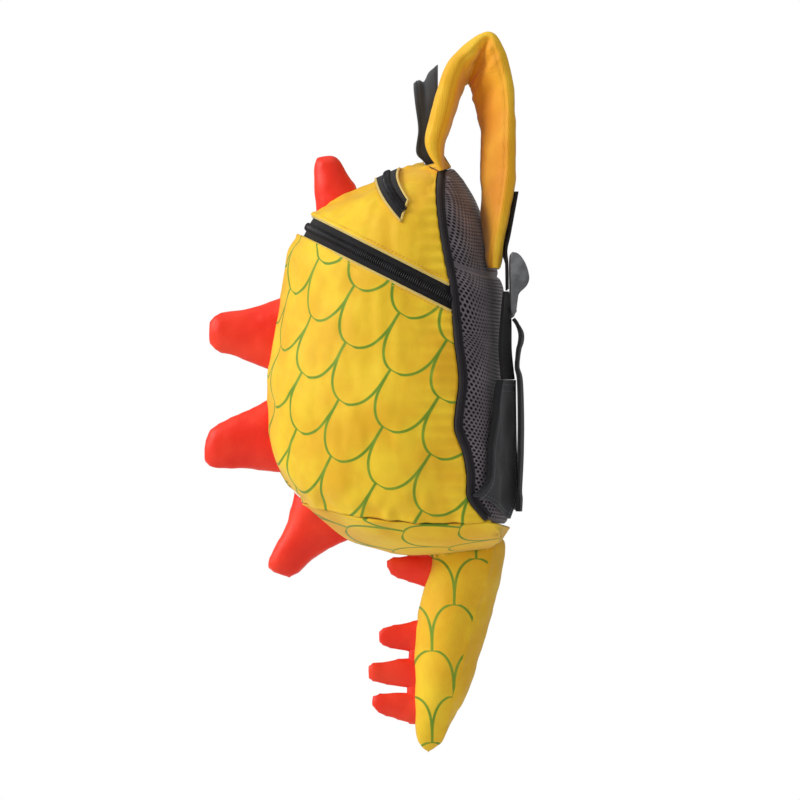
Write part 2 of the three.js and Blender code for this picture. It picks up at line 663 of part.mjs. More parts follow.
// Padded shoulder straps: one frame for each section, its middle, width and outward directions
const strapFrames = strapSections.map((row, index) => {
  const middleOf = (section) => strapPoint(section.outer).add(strapPoint(section.inner)).multiplyScalar(0.5);
  const before = middleOf(strapSections[Math.max(index - 1, 0)]);
  const after = middleOf(strapSections[Math.min(index + 1, strapSections.length - 1)]);
  const across = strapPoint(row.outer).sub(strapPoint(row.inner));
  const along = after.sub(before);
  return {
    middle: middleOf(row),
    unit: across.clone().normalize(),
    out: new THREE.Vector3().crossVectors(across, along).normalize(),
    halfWidth: across.length() / 2,
    halfThickness: row.thick * strapThickness / 2,
  };
});

function mirrored(geometryPoints, side) {
  return geometryPoints.map((p) => new THREE.Vector3(side * p.x, p.y, p.z));
}

function strapGeometry(side, gap) {
  const rings = strapFrames.map((frame) => {
    const { middle, unit, out } = frame;
    const halfWidth = frame.halfWidth + gap;
    const halfThickness = frame.halfThickness + gap;
    const ring = [];
    for (const end of [1, -1]) {
      for (const turn of [-70, -25, 25, 70]) {
        const angle = turn * Math.PI / 180;
        const reach = halfWidth - halfThickness + halfThickness * Math.cos(angle);
        const point = middle.clone().addScaledVector(unit, end * reach);
        ring.push(point.addScaledVector(out, end * halfThickness * Math.sin(angle)));
      }
    }
    return mirrored(ring, side);
  });
  return loft(rings);
}

// Webbing sewn to the strap's outer face, then hanging straight to the buckle
function strapWebbingGeometry(side) {
  const facing = strapFrames[14].out.y > 0 ? 1 : -1;
  const rows = [14.3, 15, 15.5, 16].map((at) => {
    const low = strapFrames[Math.floor(at)];
    const high = strapFrames[Math.ceil(at)];
    const share = at % 1;
    const middle = low.middle.clone().lerp(high.middle, share);
    const out = low.out.clone().lerp(high.out, share).multiplyScalar(facing);
    const shift = low.halfWidth - webbingWidth / 2 - 2;
    middle.addScaledVector(low.unit, shift).addScaledVector(out, low.halfThickness + seatGap);
    return { middle, unit: low.unit, out };
  });
  for (const place of strapWebbingEnd) {
    const middle = strapPoint([place.x, place.back, place.drop]);
    rows.push({ middle, unit: new THREE.Vector3(1, 0, 0), out: new THREE.Vector3(0, 1, 0) });
  }
  const sheet = (height) => (i, j) => {
    const row = rows[Math.round(i * (rows.length - 1))];
    const point = row.middle.clone().addScaledVector(row.unit, (j - 0.5) * webbingWidth);
    point.addScaledVector(row.out, height);
    return new THREE.Vector3(side * point.x, point.y, point.z);
  };
  return wall(sheet(webbingWall), sheet(0), rows.length - 1, 1);
}

const routePoints = (route) => route.map((row) => strapPoint([row.x, row.back, row.drop]));

// Flat webbing along a route, its width along X and its wall across the route; twist, in
// degrees, turns the width about the upright
function webbingGeometry(list, width, side, wallThickness, steps, twists = [0]) {
  const curve = new THREE.CatmullRomCurve3(list, false, 'centripetal');
  const sheet = (height) => (i, j) => {
    const at = curve.getPoint(i);
    const along = curve.getTangent(i);
    const degrees = twists.length > 1 ? smooth(twists, i * (twists.length - 1)) : twists[0];
    const twist = THREE.MathUtils.degToRad(degrees);
    const across = new THREE.Vector3(Math.cos(twist), Math.sin(twist), 0);
    const outward = new THREE.Vector3().crossVectors(across, along).normalize();
    at.addScaledVector(across, (j - 0.5) * width).addScaledVector(outward, height);
    return new THREE.Vector3(side * at.x, at.y, at.z);
  };
  return wall(sheet(wallThickness), sheet(0), steps, 1);
}

// Ladder lock: its side profile across the webbing, with slots that leave two side rails and bars
function ladderLockGeometry(side) {
  const points = lockProfile.map((row) => strapPoint([lockMiddle, row.back, row.drop]));
  const shape = new THREE.Shape(points.map((p) => new THREE.Vector2(p.y, p.z)));
  const profile = new THREE.ExtrudeGeometry(shape, { depth: lockWidth, bevelEnabled: false });
  profile.applyMatrix4(new THREE.Matrix4().set(0, 0, 1, 0, 1, 0, 0, 0, 0, 1, 0, 0, 0, 0, 0, 1));
  profile.translate(side * lockMiddle * bodyWidth - lockWidth / 2, 0, 0);
  const slots = lockSlots.map((place) => {
    const slot = new THREE.BoxGeometry(webbingWidth, 2 * lockWidth, lockSlotHeight);
    const at = strapPoint([lockMiddle, place.back, place.drop]);
    slot.translate(side * at.x, at.y, at.z);
    return toSolid(slot);
  });
  return toGeometry(slots.reduce((solid, slot) => solid.subtract(slot), toSolid(profile)));
}

// The back surface at a place across and up, for keeping flat pieces outside the pads
function backSurfaceY(x, z) {
  let low = 0;
  let high = rowOf.floor;
  const pointOn = (row) => {
    const share = Math.min(Math.abs(x) / sectionAt(row).half, 1);
    return bodySurface(row, Math.PI - Math.asin(share ** (backRoundness / 2)));
  };
  for (let step = 0; step < 24; step += 1) {
    const middle = (low + high) / 2;
    if (pointOn(middle).z > z) {
      low = middle;
    } else {
      high = middle;
    }
  }
  return pointOn(low).y;
}

const tabCorner = ([across, forward, down]) => bodyPoint([forward, down], across * bodyWidth);

function lowerTabGeometry(side) {
  const clear = pipingRadius + 2 * seatGap;
  const last = lowerTabSections.length - 1;
  const sheet = (height) => (i, j) => {
    const low = Math.min(Math.floor(i * last), last - 1);
    const [above, below] = [lowerTabSections[low], lowerTabSections[low + 1]];
    const edge = (name) => tabCorner(above[name]).lerp(tabCorner(below[name]), i * last - low);
    const point = edge('outer').lerp(edge('inner'), j);
    point.y = Math.max(point.y, backSurfaceY(point.x, point.z) + clear) + height;
    return new THREE.Vector3(side * point.x, point.y, point.z);
  };
  return wall(sheet(webbingWall), sheet(0), 2 * last, 4);
}

// Webbing from the buckle down to the top of the tab that carries it
function lowerWebbingGeometry(side) {
  const [top] = lowerTabSections;
  const end = tabCorner(top.outer).add(tabCorner(top.inner)).multiplyScalar(0.5);
  end.z += seatGap;
  const list = [...routePoints(lowerWebbingRoute), end];
  const twists = [...lowerWebbingRoute.map((row) => row.twist), tabTwist];
  return webbingGeometry(list, webbingWidth, side, webbingWall, 12, twists);
}

function haulLoopGeometry() {
  const farHalf = haulLoopSections.slice(0, -1).reverse().map((row) => ({ ...row, span: -row.span }));
  const rows = [...haulLoopSections, ...farHalf];
  const sheet = (height) => (i, j) => {
    const at = Math.round(i * (rows.length - 1));
    const row = rows[at];
    const outward = new THREE.Vector3(row.span, 0, Math.max(row.rise - 0.6, 0) * 2.5).normalize();
    const y = topSeam.y + row.back * haulLoopRise - (1 - j) * row.width * haulLoopWidth;
    const z = topSeam.z + (row.rise - (1 - j) * row.tilt) * haulLoopRise;
    return new THREE.Vector3(row.span * haulLoopHalfSpan, y, z).addScaledVector(outward, height);
  };
  return wall(sheet(webbingWall), sheet(0), rows.length - 1, 2);
}

addBody();
addBase();
addPads();
addPiece('seam_piping', pipingGeometry(pipingRadius), zipBlack);
addMainZip();
addTopZip();
const bodySeat = bodyForm(2.5 * seatGap);
const seamSeat = bodyForm(pipingRadius + seatGap);
const pipingSeat = toSolid(pipingGeometry(pipingRadius + 1.5 * seatGap));
addSpikes(bodySeat);
addTail(bodySeat);
addPiece('haul_loop', cutBy(haulLoopGeometry(), seamSeat, pipingSeat), charcoal);
for (const [name, side] of [['right', 1], ['left', -1]]) {
  addPiece(`shoulder_strap_${name}`, cutBy(strapGeometry(side, 0), seamSeat, pipingSeat), yellow);
  const strapSeat = toSolid(strapGeometry(side, 1.5 * seatGap));
  addPiece(`strap_webbing_${name}`, cutBy(strapWebbingGeometry(side), strapSeat), zipBlack);
  addPiece(`ladder_lock_${name}`, ladderLockGeometry(side), bucklePlastic);
  addPiece(`lower_webbing_${name}`, lowerWebbingGeometry(side), zipBlack);
  addPiece(`lower_tab_${name}`, lowerTabGeometry(side), charcoal);
  const tailRoute = routePoints(webbingTailRoute);
  addPiece(`webbing_tail_${name}`, webbingGeometry(tailRoute, webbingWidth, side, webbingWall, 24), zipBlack);
}

export default group;
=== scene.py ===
import math

import bmesh
import bpy
import numpy as np
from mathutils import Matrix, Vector
from mathutils.bvhtree import BVHTree


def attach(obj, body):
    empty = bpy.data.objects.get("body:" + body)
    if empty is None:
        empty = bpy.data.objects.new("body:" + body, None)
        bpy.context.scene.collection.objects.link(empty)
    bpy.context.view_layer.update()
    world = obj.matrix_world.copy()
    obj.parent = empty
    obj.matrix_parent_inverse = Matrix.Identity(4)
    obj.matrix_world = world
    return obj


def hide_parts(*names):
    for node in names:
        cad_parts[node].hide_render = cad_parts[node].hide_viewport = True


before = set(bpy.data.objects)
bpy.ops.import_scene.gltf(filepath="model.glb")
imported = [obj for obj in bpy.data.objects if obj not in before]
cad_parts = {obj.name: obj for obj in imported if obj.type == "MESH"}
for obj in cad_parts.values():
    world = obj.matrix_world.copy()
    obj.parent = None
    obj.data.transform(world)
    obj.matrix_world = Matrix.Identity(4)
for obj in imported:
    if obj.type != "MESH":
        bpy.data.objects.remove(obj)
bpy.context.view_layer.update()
print("frame loaded with", len(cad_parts), "nodes")

# The side view: the bag's centre plane in the photograph, all places in metres.
photoView = {
    "metresPerPixel": 0.00075,
    "hangPixel": (487, 45),
    "middlePixel": (400, 400),
    "framePixels": 800,
    "distance": 14.0,
    "sensor": 36,
    "floorHeight": -0.68,
    "floorRadius": 1.6,
}


def seen(u, v, x=0.0):
    # a place of the side view as a point of the bag
    scale = photoView["metresPerPixel"]
    hangU, hangV = photoView["hangPixel"]
    return np.array((x, (u - hangU) * scale, (hangV - v) * scale))


def addObject(name, data):
    item = bpy.data.objects.new(name, data)
    bpy.context.scene.collection.objects.link(item)
    return item


def aimAlong(item, direction):
    item.rotation_mode = "QUATERNION"
    item.rotation_quaternion = direction.to_track_quat("-Z", "Y")


def makeCamera():
    middle = seen(*photoView["middlePixel"])
    camera = addObject("camera", bpy.data.cameras.new("camera"))
    camera.location = (photoView["distance"], middle[1], middle[2])
    aimAlong(camera, Vector((-1, 0, 0)))
    span = photoView["framePixels"] * photoView["metresPerPixel"]
    camera.data.sensor_width = photoView["sensor"]
    camera.data.lens = photoView["sensor"] * photoView["distance"] / span
    camera.data.clip_end = 60
    bpy.context.scene.camera = camera


makeCamera()
print("camera placed")


# Shader maths

def tint(red, green, blue):
    # a colour as read on the screen, as the linear colour that the shader wants
    channels = []
    for value in (red, green, blue):
        share = value / 255
        channels.append(share / 12.92 if share <= 0.04045 else ((share + 0.055) / 1.055) ** 2.4)
    return (*channels, 1.0)


class Wire:
    # one socket of a finish, usable in sums
    def __init__(self, finish, socket):
        self.finish = finish
        self.socket = socket

    def maths(self, operation, *others):
        values = {place: value for place, value in enumerate((self, *others))}
        return self.finish.node("ShaderNodeMath", {"operation": operation}, values)

    def __add__(self, other):
        return self.maths("ADD", other)

    def __sub__(self, other):
        return self.maths("SUBTRACT", other)

    def __mul__(self, other):
        return self.maths("MULTIPLY", other)

    def __truediv__(self, other):
        return self.maths("DIVIDE", other)

    def __pow__(self, other):
        return self.maths("POWER", other)

    def __rsub__(self, other):
        return self * -1 + other

    def size(self):
        return self.maths("ABSOLUTE")

    def step(self, low, high):
        # 0 below low, 1 above high, smooth between them
        settings = {"interpolation_type": "SMOOTHSTEP"}
        return self.finish.node("ShaderNodeMapRange", settings, {0: self, 1: low, 2: high, 3: 0.0, 4: 1.0})


class Finish:
    # one material: node() makes any node, sets what it needs and returns one output
    def __init__(self, name, roughness, sheen=0.0):
        self.material = bpy.data.materials.new(name)
        self.material.use_nodes = True
        self.tree = self.material.node_tree
        self.tree.nodes.clear()
        output = self.tree.nodes.new("ShaderNodeOutputMaterial")
        self.shader = self.tree.nodes.new("ShaderNodeBsdfPrincipled")
        self.tree.links.new(self.shader.outputs[0], output.inputs[0])
        self.shader.inputs["Roughness"].default_value = roughness
        self.shader.inputs["Sheen Weight"].default_value = sheen
        self.shader.inputs["Sheen Roughness"].default_value = 0.4
        self.shader.inputs["Specular IOR Level"].default_value = 0.35

    def plug(self, socket, value):
        if isinstance(value, Wire):
            self.tree.links.new(value.socket, socket)
        else:
            socket.default_value = value

    def node(self, kind, settings=None, inputs=None, output=0):
        node = self.tree.nodes.new(kind)
        for key, value in (settings or {}).items():
            setattr(node, key, value)
        for key, value in (inputs or {}).items():
            self.plug(node.inputs[key], value)
        return Wire(self, node.outputs[output])

    def objectPlace(self):
        return self.node("ShaderNodeTexCoord", output=3)

    def patternPlace(self):
        return self.node("ShaderNodeUVMap", {"uv_map": "print"})

    def parts(self, vector):
        node = self.node("ShaderNodeSeparateXYZ", inputs={0: vector}).socket.node
        return [Wire(self, socket) for socket in node.outputs]

    def cloud(self, place, scale, detail=2.0, roughness=0.5):
        inputs = {"Vector": place, "Scale": scale, "Detail": detail, "Roughness": roughness}
        return self.node("ShaderNodeTexNoise", inputs=inputs)

    def blend(self, share, first, second):
        return self.node("ShaderNodeMix", {"data_type": "RGBA"}, {0: share, 6: first, 7: second}, output=2)

    def colour(self, value):
        self.plug(self.shader.inputs["Base Color"], value)

    def rough(self, value):
        self.plug(self.shader.inputs["Roughness"], value)

    def relief(self, height, distance, strength):
        inputs = {"Height": height, "Distance": distance, "Strength": strength}
        self.plug(self.shader.inputs["Normal"], self.node("ShaderNodeBump", inputs=inputs))


def weave(finish, place, pitch):
    # threads over and under each other, as a height between 0 and 1
    along, across, _ = finish.parts(place)
    waves = [(way * (2 * math.pi / pitch)).maths("SINE") for way in (along, across)]
    return waves[0] * waves[1] * 0.5 + 0.5


# The scale print: rows of round scales, each hanging from the joins of the row above it; metres
scalePrint = {
    "width": 0.0413,
    "pitch": 0.0400,
    "rowShift": 0.0154,
    "lean": -0.002,
    "line": 0.0009,
    "tilt": math.radians(29.5),
    "origin": (0.0035, 0.2081),
    "wobble": 0.0010,
}
basePrint = {**scalePrint, "tilt": math.radians(100), "origin": (0.01, 0.02), "wobble": 0.0}
# on the tail the same cloth hangs the other way up, as far as the crease before its back
tailPrint = {
    "width": 0.0330,
    "pitch": 0.0345,
    "rowShift": 0.0165,
    "lean": 0.0,
    "line": 0.0008,
    "tilt": math.pi,
    "origin": (0.00825, -0.38475),
    "wobble": 0.0010,
    "creaseTop": (0.0006, -0.3885),
    "creaseSlope": 0.257,
}


def creaseAt(height):
    # how far back the crease of the tail lies at a height
    return (height - tailPrint["creaseTop"][1]) * tailPrint["creaseSlope"] + tailPrint["creaseTop"][0]


def scaleLines(forward, up, scales):
    # distance from the nearest printed line, in metres
    width, pitch, tilt = scales["width"], scales["pitch"], scales["tilt"]
    origin, lean = scales["origin"], scales["lean"]
    along = forward * math.cos(tilt) - up * math.sin(tilt)
    down = forward * -math.sin(tilt) - up * math.cos(tilt)
    depth = (down - (origin[1] - pitch)) / pitch
    row = depth.maths("FLOOR")
    fall = depth - row
    centre = row * scales["rowShift"] + origin[0]
    side = (along - centre + (1 - fall) * lean) / width + 0.5
    across = ((side - side.maths("FLOOR")) * 2 - 1).size()
    outline = across * across + fall ** 3 - 1
    slopeAcross = across * (4 / width)
    slopeDown = fall * fall * (3 / pitch)
    steep = (slopeAcross * slopeAcross + slopeDown * slopeDown).maths("SQRT")
    return outline.size() / steep - across * (scales["line"] * 0.35)


clothColours = {
    "yellowBright": tint(250, 210, 38),
    "yellowDeep": tint(240, 184, 22),
    "green": tint(100, 146, 26),
    "greenFade": tint(126, 160, 34),
}


def yellowCloth(name, scales=None):
    finish = Finish(name, 0.62, sheen=0.15)
    place = finish.objectPlace()
    grain = finish.cloud(place, 22.0, 3.0, 0.6)
    colour = finish.blend(grain.step(0.32, 0.7), clothColours["yellowDeep"], clothColours["yellowBright"])
    mapped = scales in (scalePrint, basePrint)
    pattern = finish.patternPlace() if mapped else place
    if scales:
        forward, up = finish.parts(pattern)[:2] if mapped else finish.parts(pattern)[1:]
        wander = finish.cloud(pattern, 26.0, 1.0) - 0.5
        forward = forward + wander * (2 * scales["wobble"])
        distance = scaleLines(forward, up, scales)
        if scales is tailPrint:
            distance = distance + (forward - creaseAt(up)).step(-0.0005, 0.0005)
        ink = 1 - distance.step(scales["line"] * 0.55, scales["line"] * 1.35)
        fade = finish.cloud(place, 60.0, 2.0).step(0.3, 0.6)
        green = finish.blend(fade, clothColours["greenFade"], clothColours["green"])
        colour = finish.blend(ink * 0.96, colour, green)
    finish.colour(colour)
    threads = weave(finish, pattern, 0.0011)
    crumple = finish.cloud(place, 70.0, 4.0, 0.6)
    finish.relief(threads * 0.25 + crumple, 0.0009, 0.5)
    finish.rough(finish.cloud(place, 40.0) * 0.2 + 0.5)
    return finish.material


def orangeCloth():
    finish = Finish("orangeCloth", 0.5, sheen=0.2)
    place = finish.objectPlace()
    patch = finish.cloud(place, 30.0, 3.0)
    finish.colour(finish.blend(patch.step(0.35, 0.7), tint(247, 44, 18), tint(255, 66, 34)))
    finish.relief(finish.cloud(place, 120.0, 4.0, 0.6), 0.0008, 0.5)
    finish.rough(patch * 0.2 + 0.4)
    return finish.material


def plainCloth(name, deep, bright, roughness, ribPitch, sheen=0.1):
    # woven goods whose print map runs across and along the piece
    finish = Finish(name, roughness, sheen=sheen)
    pattern = finish.patternPlace()
    threads = weave(finish, pattern, ribPitch)
    wear = finish.cloud(finish.objectPlace(), 55.0, 3.0)
    finish.colour(finish.blend((threads * 0.55 + wear * 0.5).step(0.2, 0.9), deep, bright))
    finish.relief(threads + wear * 0.6, 0.0004, 0.8)
    return finish.material


def strapClothWithPaintedShade():
    # the face towards the opening gets painted shade, a deeper orange, kept in the piece's own attribute
    finish = Finish("strapClothWithPaintedShade", 0.55, sheen=0.2)
    place = finish.objectPlace()
    patch = finish.cloud(place, 24.0, 3.0)
    bright = finish.blend(patch.step(0.35, 0.7), tint(248, 182, 22), tint(255, 204, 48))
    # deep: the painted shade colour for the face towards the opening
    deep = finish.blend(patch.step(0.35, 0.7), tint(234, 146, 14), tint(247, 172, 30))
    inside = finish.node("ShaderNodeAttribute", {"attribute_name": "inside"}, output=2)
    finish.colour(finish.blend(inside.step(0.25, 0.95), bright, deep))
    threads = weave(finish, place, 0.0012)
    finish.relief(threads * 0.3 + finish.cloud(place, 90.0, 4.0, 0.6), 0.001, 0.6)
    return finish.material


def mouldedPlastic(name, deep, bright, roughness):
    finish = Finish(name, roughness)
    place = finish.objectPlace()
    wear = finish.cloud(place, 120.0, 4.0)
    finish.colour(finish.blend(wear.step(0.3, 0.75), deep, bright))
    finish.relief(finish.cloud(place, 900.0, 2.0), 0.0001, 0.5)
    finish.rough(wear * 0.25 + (roughness - 0.1))
    return finish.material


finishes = {
    "bodyPrint": yellowCloth("bodyPrint", scalePrint),
    "basePrint": yellowCloth("basePrint", basePrint),
    "tailPrint": yellowCloth("tailPrint", tailPrint),
    "yellowPlain": yellowCloth("yellowPlain"),
    "orange": orangeCloth(),
    "strap": strapClothWithPaintedShade(),
}
# woven goods: deep and bright colour, roughness, rib pitch, sheen
for name, deep, bright, *rest in (
        ("netThread", (86, 79, 84), (142, 132, 138), 0.6, 0.0009, 0.3),
        ("netDark", (18, 17, 22), (34, 32, 40), 0.9, 0.002),
        ("binding", (24, 22, 26), (52, 46, 50), 0.7, 0.0012),
        ("charcoal", (42, 42, 45), (76, 77, 80), 0.6, 0.0013, 0.3),
        ("webbing", (12, 12, 14), (38, 38, 42), 0.6, 0.0016),
        ("zipTape", (10, 9, 12), (30, 27, 34), 0.6, 0.0011),
        ("hem", (240, 200, 90), (255, 232, 150), 0.6, 0.0012, 0.2),
        ("greyThread", (88, 90, 94), (140, 142, 146), 0.6, 0.0006),
        ("yellowThread", (214, 158, 30), (250, 214, 90), 0.6, 0.0006),
        ("darkThread", (20, 20, 22), (60, 60, 64), 0.6, 0.0006)):
    finishes[name] = plainCloth(name, tint(*deep), tint(*bright), *rest)
# plastic: deep and bright colour, roughness
for name, deep, bright, roughness in (
        ("zipTeeth", (14, 13, 16), (40, 38, 42), 0.35),
        ("slider", (14, 14, 16), (48, 48, 52), 0.3),
        ("buckle", (96, 97, 100), (136, 137, 140), 0.4)):
    finishes[name] = mouldedPlastic(name, tint(*deep), tint(*bright), roughness)
print("materials made:", len(finishes))


# Meshes from grids of points

def noiseField(points, scale, seed):
    # smooth noise between -1 and 1, the same for the same seed
    cells = np.asarray(points) * scale + seed * 17.31
    low = np.floor(cells)
    share = cells - low
    share = share * share * (3 - 2 * share)
    total = np.zeros(cells.shape[:-1])
    for corner in range(8):
        offset = np.array([(corner >> axis) & 1 for axis in range(3)])
        lattice = low + offset
        mixed = np.sin(lattice @ np.array((127.1, 311.7, 74.7)) + seed) * 43758.5453
        value = (mixed - np.floor(mixed)) * 2 - 1
        weight = np.prod(np.where(offset == 1, share, 1 - share), axis=-1)
        total = total + value * weight
    return total


def noiseSum(points, *layers):
    # each layer is a scale, a seed and a height
    return sum(noiseField(points, scale, seed) * height for scale, seed, height in layers)


def hill(values, middle, spread):
    # 1 at the middle, falling to nothing on both sides
    return np.exp(-((values - middle) / spread) ** 2)


def stacked(*parts):
    return np.stack(np.broadcast_arrays(*parts), axis=-1)


def unit(vectors):
    return vectors / np.maximum(np.linalg.norm(vectors, axis=-1, keepdims=True), 1e-12)


def fullTurn(count):
    return np.arange(count) * 2 * math.pi / count


def shadeSmooth(mesh, smooth=True):
    mesh.polygons.foreach_set("use_smooth", [smooth] * len(mesh.polygons))


def addMesh(name, points, faces, uvs=None):
    points = np.asarray(points, float).reshape(-1, 3)
    triangles = [face[:3] for face in faces] + [(face[0], *face[2:]) for face in faces if len(face) > 3]
    a, b, c = np.moveaxis(points[np.array(triangles)], 1, 0)
    if (a * np.cross(b, c)).sum() < 0:
        faces = [tuple(reversed(face)) for face in faces]
    mesh = bpy.data.meshes.new(name)
    mesh.from_pydata(points.tolist(), [], [tuple(int(i) for i in face) for face in faces])
    if uvs is not None:
        uvs = np.asarray(uvs, float).reshape(-1, 2)
        layer = mesh.uv_layers.new(name="print")
        loops = np.zeros(len(mesh.loops), np.int32)
        mesh.loops.foreach_get("vertex_index", loops)
        layer.data.foreach_set("uv", uvs[loops].astype(np.float32).ravel())
    shadeSmooth(mesh)
    mesh.validate()
    return addObject(name, mesh)


def gridFaces(rows, columns, start=0, wrap=False):
    faces = []
    for i in range(rows - 1):
        for j in range(columns if wrap else columns - 1):
            right = (j + 1) % columns
            a = start + i * columns + j
            b = start + i * columns + right
            faces.append((a, b, b + columns, a + columns))
    return faces


def wallPiece(name, outer, inner, uv=None):
    # closed wall between two grids of points of one size
    rows, columns = outer.shape[:2]
    count = rows * columns
    faces = gridFaces(rows, columns)
    faces += [tuple(reversed(face)) for face in gridFaces(rows, columns, count)]
    rim = [(0, j) for j in range(columns)] + [(i, columns - 1) for i in range(1, rows)]
    rim += [(rows - 1, j) for j in range(columns - 2, -1, -1)] + [(i, 0) for i in range(rows - 2, 0, -1)]
    index = [i * columns + j for i, j in rim]
    for a, b in zip(index, index[1:] + index[:1]):
        faces.append((b, a, a + count, b + count))
    points = np.concatenate([outer.reshape(-1, 3), inner.reshape(-1, 3)])
    uvs = None if uv is None else np.concatenate([uv.reshape(-1, 2)] * 2)
    return addMesh(name, points, faces, uvs)


def loftPiece(name, rings, uv=None):
    # closed body through rings, with a point at each end
    rings = np.asarray(rings)
    rows, columns = rings.shape[:2]
    count = rows * columns
    faces = gridFaces(rows, columns, wrap=True)
    ends = [rings[0].mean(axis=0), rings[-1].mean(axis=0)]
    last = (rows - 1) * columns
    for j in range(columns):
        right = (j + 1) % columns
        faces.append((count, right, j))
        faces.append((count + 1, last + j, last + right))
    points = np.concatenate([rings.reshape(-1, 3), ends])
    uvs = None
    if uv is not None:
        uvs = np.concatenate([uv.reshape(-1, 2), [uv[0].mean(axis=0), uv[-1].mean(axis=0)]])
    return addMesh(name, points, faces, uvs)


def finishPiece(piece, finish, slot, *nodes, fill=None):
    piece.data.materials.clear()
    piece.data.materials.append(finishes[finish])
    settle(piece, slot, *nodes, fill=fill)


def settle(piece, slot, *nodes, fill=None):
    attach(piece, "root")
    if nodes:
        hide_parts(*nodes)


# The bag's form: sections from the ridge to the base, each from the front centre over the side
# seam to the back centre, as shares of the depth before the back plane and of the height.
bag = {
    "width": 0.238,
    "depth": 0.182,
    "height": 0.290,
    "backPlane": 0.018,
    "top": -0.090,
    "frontRound": 2.4,
    "backRound": 2.2,
    "wall": 0.002,
    "seamHalf": 0.0026,
}
sectionColumns = ("frontY", "frontZ", "seamY", "seamZ", "backY", "backZ", "half", "dip")
sectionRows = {
    "ridge": (0.359, -0.004, 0.289, 0.018, 0.236, 0.002, 0.176, 0),
    "crown": (0.449, 0.01, 0.297, 0.054, 0.192, 0.049, 0.286, 0),
    "pocket": (0.565, 0.042, 0.297, 0.103, 0.144, 0.1, 0.361, 0),
    "slope": (0.664, 0.069, 0.284, 0.176, 0.099, 0.166, 0.408, 0),
    "quilt": (0.746, 0.103, 0.264, 0.251, 0.074, 0.23, 0.437, 0),
    "zipTop": (0.816, 0.135, 0.243, 0.318, 0.034, 0.305, 0.458, 0),
    "zipBottom": (0.861, 0.185, 0.235, 0.383, 0.033, 0.38, 0.471, 0),
    "shoulder": (0.91, 0.228, 0.229, 0.425, 0.031, 0.423, 0.479, 0),
    "chest": (0.93, 0.308, 0.223, 0.466, 0.029, 0.466, 0.487, 0),
    "middle": (0.967, 0.435, 0.206, 0.556, 0.025, 0.556, 0.496, 0),
    "belly": (0.995, 0.53, 0.218, 0.629, 0.021, 0.629, 0.5, 0),
    "widest": (1, 0.621, 0.223, 0.685, 0.012, 0.691, 0.5, 0),
    "low": (0.993, 0.698, 0.19, 0.742, 0.008, 0.75, 0.492, 0),
    "fold": (0.965, 0.779, 0.173, 0.804, 0, 0.815, 0.475, 0.004),
    "heel": (0.919, 0.833, 0.169, 0.861, 0, 0.874, 0.454, 0.013),
    "base": (0.861, 0.872, 0.099, 0.918, 0.012, 0.934, 0.424, 0.026),
    "turn": (0.767, 0.923, 0.058, 0.949, 0.033, 0.96, 0.361, 0.031),
    "under": (0.651, 0.976, 0.054, 0.973, 0.049, 0.975, 0.252, 0.021),
    "floor": (0.5, 1.002, 0.12, 0.997, 0.09, 0.996, 0.118, 0.008),
}
sectionTable = np.array(list(sectionRows.values()), float)
rowOf = {name: place for place, name in enumerate(sectionRows)}


def smoothTable(table, at):
    # smooth curve through the rows of a table, read at row numbers between them
    at = np.asarray(at, float)
    last = len(table) - 1
    low = np.clip(np.floor(at).astype(int), 0, last - 1)
    share = (at - low)[..., None]
    before = table[np.maximum(low - 1, 0)]
    first = table[low]
    second = table[low + 1]
    after = table[np.minimum(low + 2, last)]
    slopeLow = (second - before) / 2
    slopeHigh = (after - first) / 2
    cube, square = share ** 3, share ** 2
    start = (2 * cube - 3 * square + 1) * first + (cube - 2 * square + share) * slopeLow
    return start + (3 * square - 2 * cube) * second + (cube - square) * slopeHigh


def bagPlace(forward, down):
    return bag["backPlane"] - forward * bag["depth"], bag["top"] - down * bag["height"]


def sectionValues(rows):
    return dict(zip(sectionColumns, np.moveaxis(smoothTable(sectionTable, rows), -1, 0)))


def bagSurface(rows, turns):
    # turn 0 is the front centre, a quarter turn the right seam, half a turn the back centre
    rows, turns = np.broadcast_arrays(np.asarray(rows, float), np.asarray(turns, float))
    values = sectionValues(rows)
    frontY, frontZ = bagPlace(values["frontY"], values["frontZ"])
    seamY, seamZ = bagPlace(values["seamY"], values["seamZ"])
    backY, backZ = bagPlace(values["backY"], values["backZ"])
    isFront = np.cos(turns) >= 0
    power = np.where(isFront, 2 / bag["frontRound"], 2 / bag["backRound"])
    along = np.abs(np.cos(turns)) ** power
    across = np.sign(np.sin(turns)) * np.abs(np.sin(turns)) ** power
    y = seamY + (np.where(isFront, frontY, backY) - seamY) * along
    z = seamZ + (np.where(isFront, frontZ, backZ) - seamZ) * along
    sag = values["dip"] * bag["height"] * 4 * along * (1 - along)
    z = z - np.where(isFront, sag, 0)
    return stacked(values["half"] * bag["width"] * across, y, z)


bagMiddle = np.array((0.0, *bagPlace(0.5, 0.55)))


def bagNormal(rows, turns):
    step = 0.03
    alongRow = bagSurface(rows + step, turns) - bagSurface(rows - step, turns)
    alongTurn = bagSurface(rows, turns + step) - bagSurface(rows, turns - step)
    normal = unit(np.cross(alongRow, alongTurn))
    outward = (normal * (bagSurface(rows, turns) - bagMiddle)).sum(axis=-1, keepdims=True)
    return np.where(outward < 0, -normal, normal)


def seamTurn(rows, side):
    # the turn at which a section comes within half a seam of the side seam, on its front or back
    values = sectionValues(rows)
    seam = stacked(*bagPlace(values["seamY"], values["seamZ"]))
    far = stacked(*bagPlace(values[side + "Y"], values[side + "Z"]))
    reach = np.maximum(np.linalg.norm(far - seam, axis=-1), 4 * bag["seamHalf"])
    return np.arccos((bag["seamHalf"] / reach) ** (bag[side + "Round"] / 2))


def stretchAlong(points, axis):
    # running length along one axis of a grid of points
    steps = np.linalg.norm(np.diff(points, axis=axis), axis=-1)
    lead = np.zeros_like(np.take(steps, [0], axis=axis))
    return np.cumsum(np.concatenate([lead, steps], axis=axis), axis=axis)


